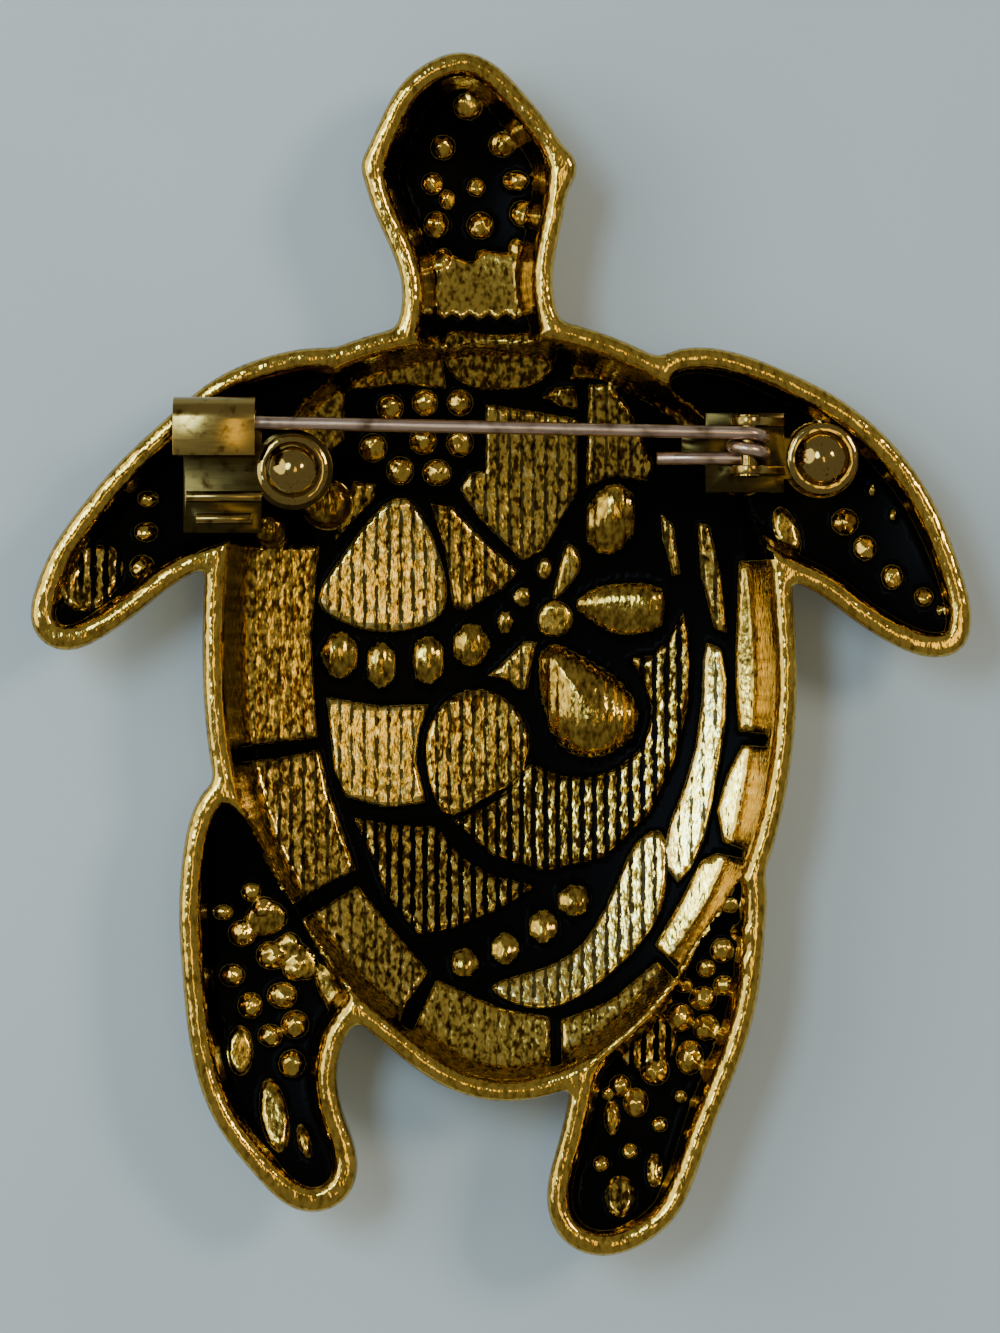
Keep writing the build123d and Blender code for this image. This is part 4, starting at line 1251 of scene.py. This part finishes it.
class BROOCH_OT_catch(bpy.types.Operator):
    """Makes the sheet catch with its rolled hood"""

    bl_idname = "brooch.catch"
    bl_label = "Catch"

    def execute(self, context):
        left, top = spot(CATCH_LEFT, HOOD_BACK)
        right, bottom = spot(CATCH_RIGHT, CATCH_BOTTOM)
        level = CATCH_Z + SEAT_GAP
        curl_radius = HOOD_BORE + SHEET
        curl_y = top - curl_radius
        curl = (curl_y, level + curl_radius)
        lip_y, lip_top = curl_y - HOOD_LIP, level + 2 * curl_radius
        hood = [
            (lip_y, level), *arc(curl, curl_radius, -90, 90, 25), (lip_y, lip_top),
            (lip_y, lip_top - SHEET), *arc(curl, HOOD_BORE, 90, -90, 25), (lip_y, level + SHEET)]
        solids = [
            prism(hood, "X", spot(HOOD_LEFT, 0)[0], HOOD_LENGTH),
            prism(rectangle(left, right, bottom, curl_y), "Z", level, SHEET)]
        lug, hole = rivet_lug(CATCH_RIVET, right, COLLAR_RADIUS + SHEET / 2, level)
        solids += lug
        for down, start, end in CATCH_BEADS:
            bead_x, bead_y = spot(start, down)
            bead = circle((bead_y, level + SHEET), BEAD_HEIGHT, 16)
            solids.append(prism(bead, "X", bead_x, spot(end, down)[0] - bead_x))
        catch = join_solids("catch_with_hood", solids, [hole])
        dress(catch, sheet_material(level + SHEET), "brooch", "catch_plate")
        return {"FINISHED"}


class BROOCH_OT_hinge(bpy.types.Operator):
    """Makes the sheet hinge with its two ears, and the axle through them"""

    bl_idname = "brooch.hinge"
    bl_label = "Hinge"

    def execute(self, context):
        left, top = spot(HINGE_LEFT, HINGE_TOP)
        right, bottom = spot(EAR_END, HINGE_BOTTOM)
        tongue_left, tongue_top = spot(TONGUE_LEFT, TONGUE_TOP)
        tongue = rectangle(tongue_left, left + SHEET, spot(0, TONGUE_BOTTOM)[1], tongue_top)
        level = HINGE_Z + SEAT_GAP
        plates = [rectangle(left, right, bottom, top), tongue]
        solids = [prism(plate, "Z", level, SHEET) for plate in plates]
        lug, rivet_hole = rivet_lug(HINGE_RIVET, right, COLLAR_RADIUS, level)
        solids += lug
        axle_place, ear_radius = (AXLE_X, AXLE_Z), AXLE_DIAMETER / 2 + SHEET
        ear = [
            (AXLE_X - ear_radius, level), *arc(axle_place, ear_radius, 180, 45, 22),
            (right, level + 2 * SHEET), (right, level)]
        solids += [prism(ear, "Y", start, SHEET) for start in (EAR_TOP_Y, EAR_BOTTOM_Y - SHEET)]
        between = EAR_TOP_Y - EAR_BOTTOM_Y
        bore = circle(axle_place, AXLE_DIAMETER / 2 + SHANK_FIT, 32)
        axle_hole = prism(bore, "Y", EAR_BOTTOM_Y - 1, between + 2)
        hinge = join_solids("hinge_with_ears", solids, [rivet_hole, axle_hole])
        dress(hinge, sheet_material(level + SHEET), "brooch", "hinge_plate")
        half = between / 2 + SHEET + SEAT_GAP
        end = half + AXLE_HEAD_HEIGHT
        head = [
            (AXLE_DIAMETER / 2, half), (AXLE_HEAD_RADIUS, half),
            (AXLE_HEAD_RADIUS, half + AXLE_HEAD_HEIGHT / 2), (AXLE_HEAD_RADIUS * 0.7, end),
            (0, end)]
        profile = [(radius, -height) for radius, height in reversed(head)] + head
        centre = (AXLE_X, (EAR_TOP_Y + EAR_BOTTOM_Y) / 2, AXLE_Z)
        axle = turned("hinge_axle_pin", profile, centre, (0, 1, 0))
        dress(axle, rivet_material(), "brooch", "hinge_axle")
        return {"FINISHED"}


class BROOCH_OT_rivets(bpy.types.Operator):
    """Makes the two domed rivets that hold the fittings"""

    bl_idname = "brooch.rivets"
    bl_label = "Rivets"

    def execute(self, context):
        top = COLLAR_HEIGHT + RIVET_HEAD_HEIGHT
        ball = (RIVET_HEAD_RADIUS ** 2 + RIVET_HEAD_HEIGHT ** 2) / (2 * RIVET_HEAD_HEIGHT)
        dome = [
            (ball * math.sin(t), top - ball * (1 - math.cos(t)))
            for t in np.linspace(math.asin(RIVET_HEAD_RADIUS / ball), 0, 18)[:-1]]
        chamfer = COLLAR_HEIGHT / 3
        profile = [
            (0, -SHANK_LENGTH), (SHANK_RADIUS, -SHANK_LENGTH), (SHANK_RADIUS, 0),
            (COLLAR_RADIUS - chamfer, 0), (COLLAR_RADIUS, chamfer), (COLLAR_RADIUS, 2 * chamfer),
            (COLLAR_RADIUS - chamfer, COLLAR_HEIGHT), (RIVET_HEAD_RADIUS + chamfer, COLLAR_HEIGHT),
            *dome, (0, top)]
        material = rivet_material()
        for node, place, seat in (
                ("catch_rivet", CATCH_RIVET, CATCH_Z), ("hinge_rivet", HINGE_RIVET, HINGE_Z)):
            centre = (*spot(*place), seat + SEAT_GAP + SHEET + SEAT_GAP)
            rivet = turned(node + "_domed", profile, centre, (0, 0, 1))
            dress(rivet, material, "brooch", node)
        return {"FINISHED"}


class BROOCH_OT_pin_wire(bpy.types.Operator):
    """Makes the pin: a pointed stem, its coil and its tail, all one wire"""

    bl_idname = "brooch.pin_wire"
    bl_label = "Pin wire"

    def execute(self, context):
        radius = WIRE_DIAMETER / 2
        start = Vector((AXLE_X, STEM_Y, AXLE_Z + COIL_RADIUS))
        tip = Vector((spot(STEM_TIP, 0)[0], HOOD_Y, PIN_Z))
        length = (start - tip).length
        # The stem's distances from its tip, with its radius there: blunt end, point, straight wire
        stem = [
            (share * POINT_LENGTH, size * POINT_RADIUS)
            for share, size in ((0, 0.3), (0.02, 0.7), (0.06, 1.0))]
        stem += [
            (share * POINT_LENGTH, POINT_RADIUS + (radius - POINT_RADIUS) * share)
            for share in np.linspace(0.1, 1, 10)]
        stem += [
            (POINT_LENGTH + share * (length - POINT_LENGTH), radius)
            for share in np.linspace(0.1, 1, 24)]
        path = [tip.lerp(start, along / length) for along, _ in stem]
        radii = [size for _, size in stem]
        for angle in np.linspace(0, 2 * math.pi * COIL_TURNS, 60)[1:]:
            x = AXLE_X + COIL_RADIUS * math.sin(angle)
            z = AXLE_Z + COIL_RADIUS * math.cos(angle)
            path.append((x, STEM_Y - COIL_PITCH * angle / (2 * math.pi), z))
            radii.append(radius)
        x, y, z = path[-1]
        for share, size in ((0.1, 1), (0.5, 1), (0.985, 1), (1, 0.8)):
            path.append((x - share * TAIL_LENGTH, y, z))
            radii.append(radius * size)
        wire = swept_wire("pin_wire", path, radii)
        dress(wire, wire_material(), "pin", "pin_stem")
        return {"FINISHED"}


class BROOCH_OT_stage(bpy.types.Operator):
    """Makes the table, the lights and the camera"""

    bl_idname = "brooch.stage"
    bl_label = "Stage"

    def execute(self, context):
        stage, scene = settings().stage, context.scene
        half = TABLE_SIZE / 2
        corners = [(x, y, 0) for x, y in rectangle(-half, half, -half, half)]
        table = mesh_object("table", corners, [(0, 1, 2, 3)])
        table.data.materials.append(table_material())
        for name, place, width, length, colour, faces_down in LIGHTS:
            data = bpy.data.lights.new(name, "AREA")
            data.shape, data.size, data.size_y = "ELLIPSE", width, length
            data.energy, data.color = getattr(stage, name), colour
            light = bpy.data.objects.new(name, data)
            light.location = place
            if not faces_down:
                light.rotation_euler = (-Vector(place)).to_track_quat("-Z", "Y").to_euler()
            scene.collection.objects.link(light)
        scene.world = bpy.data.worlds.new("room")
        scene.world.use_nodes = True
        tree = scene.world.node_tree
        tree.nodes.clear()
        room = {"Color": (0.93, 0.97, 1.0), "Strength": stage.room_strength}
        add_node(tree, "OutputWorld", {"Surface": add_node(tree, "Background", room)})
        # One pixel of the picture is one unit of the chart at the rim
        picture_height = PICTURE_SIZE[1] * DOWN * MM
        data = bpy.data.cameras.new("camera")
        camera = bpy.data.objects.new("camera", data)
        camera.location = (*(EYE_PLACE * MM), stage.camera_height)
        data.lens = data.sensor_width * (stage.camera_height - RIM_Z * MM) / picture_height
        data.clip_start = 0.01
        scene.collection.objects.link(camera)
        scene.camera = camera
        return {"FINISHED"}


class BROOCH_PT_panel(bpy.types.Panel):
    """Lists the brooch's operators and settings"""

    bl_idname = "BROOCH_PT_panel"
    bl_label = "Turtle brooch"
    bl_space_type = "VIEW_3D"
    bl_region_type = "UI"
    bl_category = "Turtle brooch"

    def draw(self, context):
        for operator in OPERATORS:
            self.layout.operator(operator.bl_idname)
        chosen = settings()
        for group in (chosen.casting, chosen.fittings, chosen.finishes, chosen.stage):
            for name in group.bl_rna.properties.keys():
                if name not in ("rna_type", "name"):
                    self.layout.prop(group, name)


OPERATORS = (
    BROOCH_OT_casting, BROOCH_OT_catch, BROOCH_OT_hinge, BROOCH_OT_rivets, BROOCH_OT_pin_wire,
    BROOCH_OT_stage)
CLASSES = (
    CastingSizes, FittingSizes, Finishes, StageSizes, BroochSettings, *OPERATORS, BROOCH_PT_panel)


def register():
    for entry in CLASSES:
        bpy.utils.register_class(entry)
    bpy.types.Scene.turtle_brooch = PointerProperty(type=BroochSettings)


def unregister():
    del bpy.types.Scene.turtle_brooch
    for entry in reversed(CLASSES):
        bpy.utils.unregister_class(entry)


def main():
    register()
    bpy.ops.brooch.casting()
    bpy.ops.brooch.catch()
    bpy.ops.brooch.hinge()
    bpy.ops.brooch.rivets()
    bpy.ops.brooch.pin_wire()
    bpy.ops.brooch.stage()


if __name__ == "__main__":
    main()
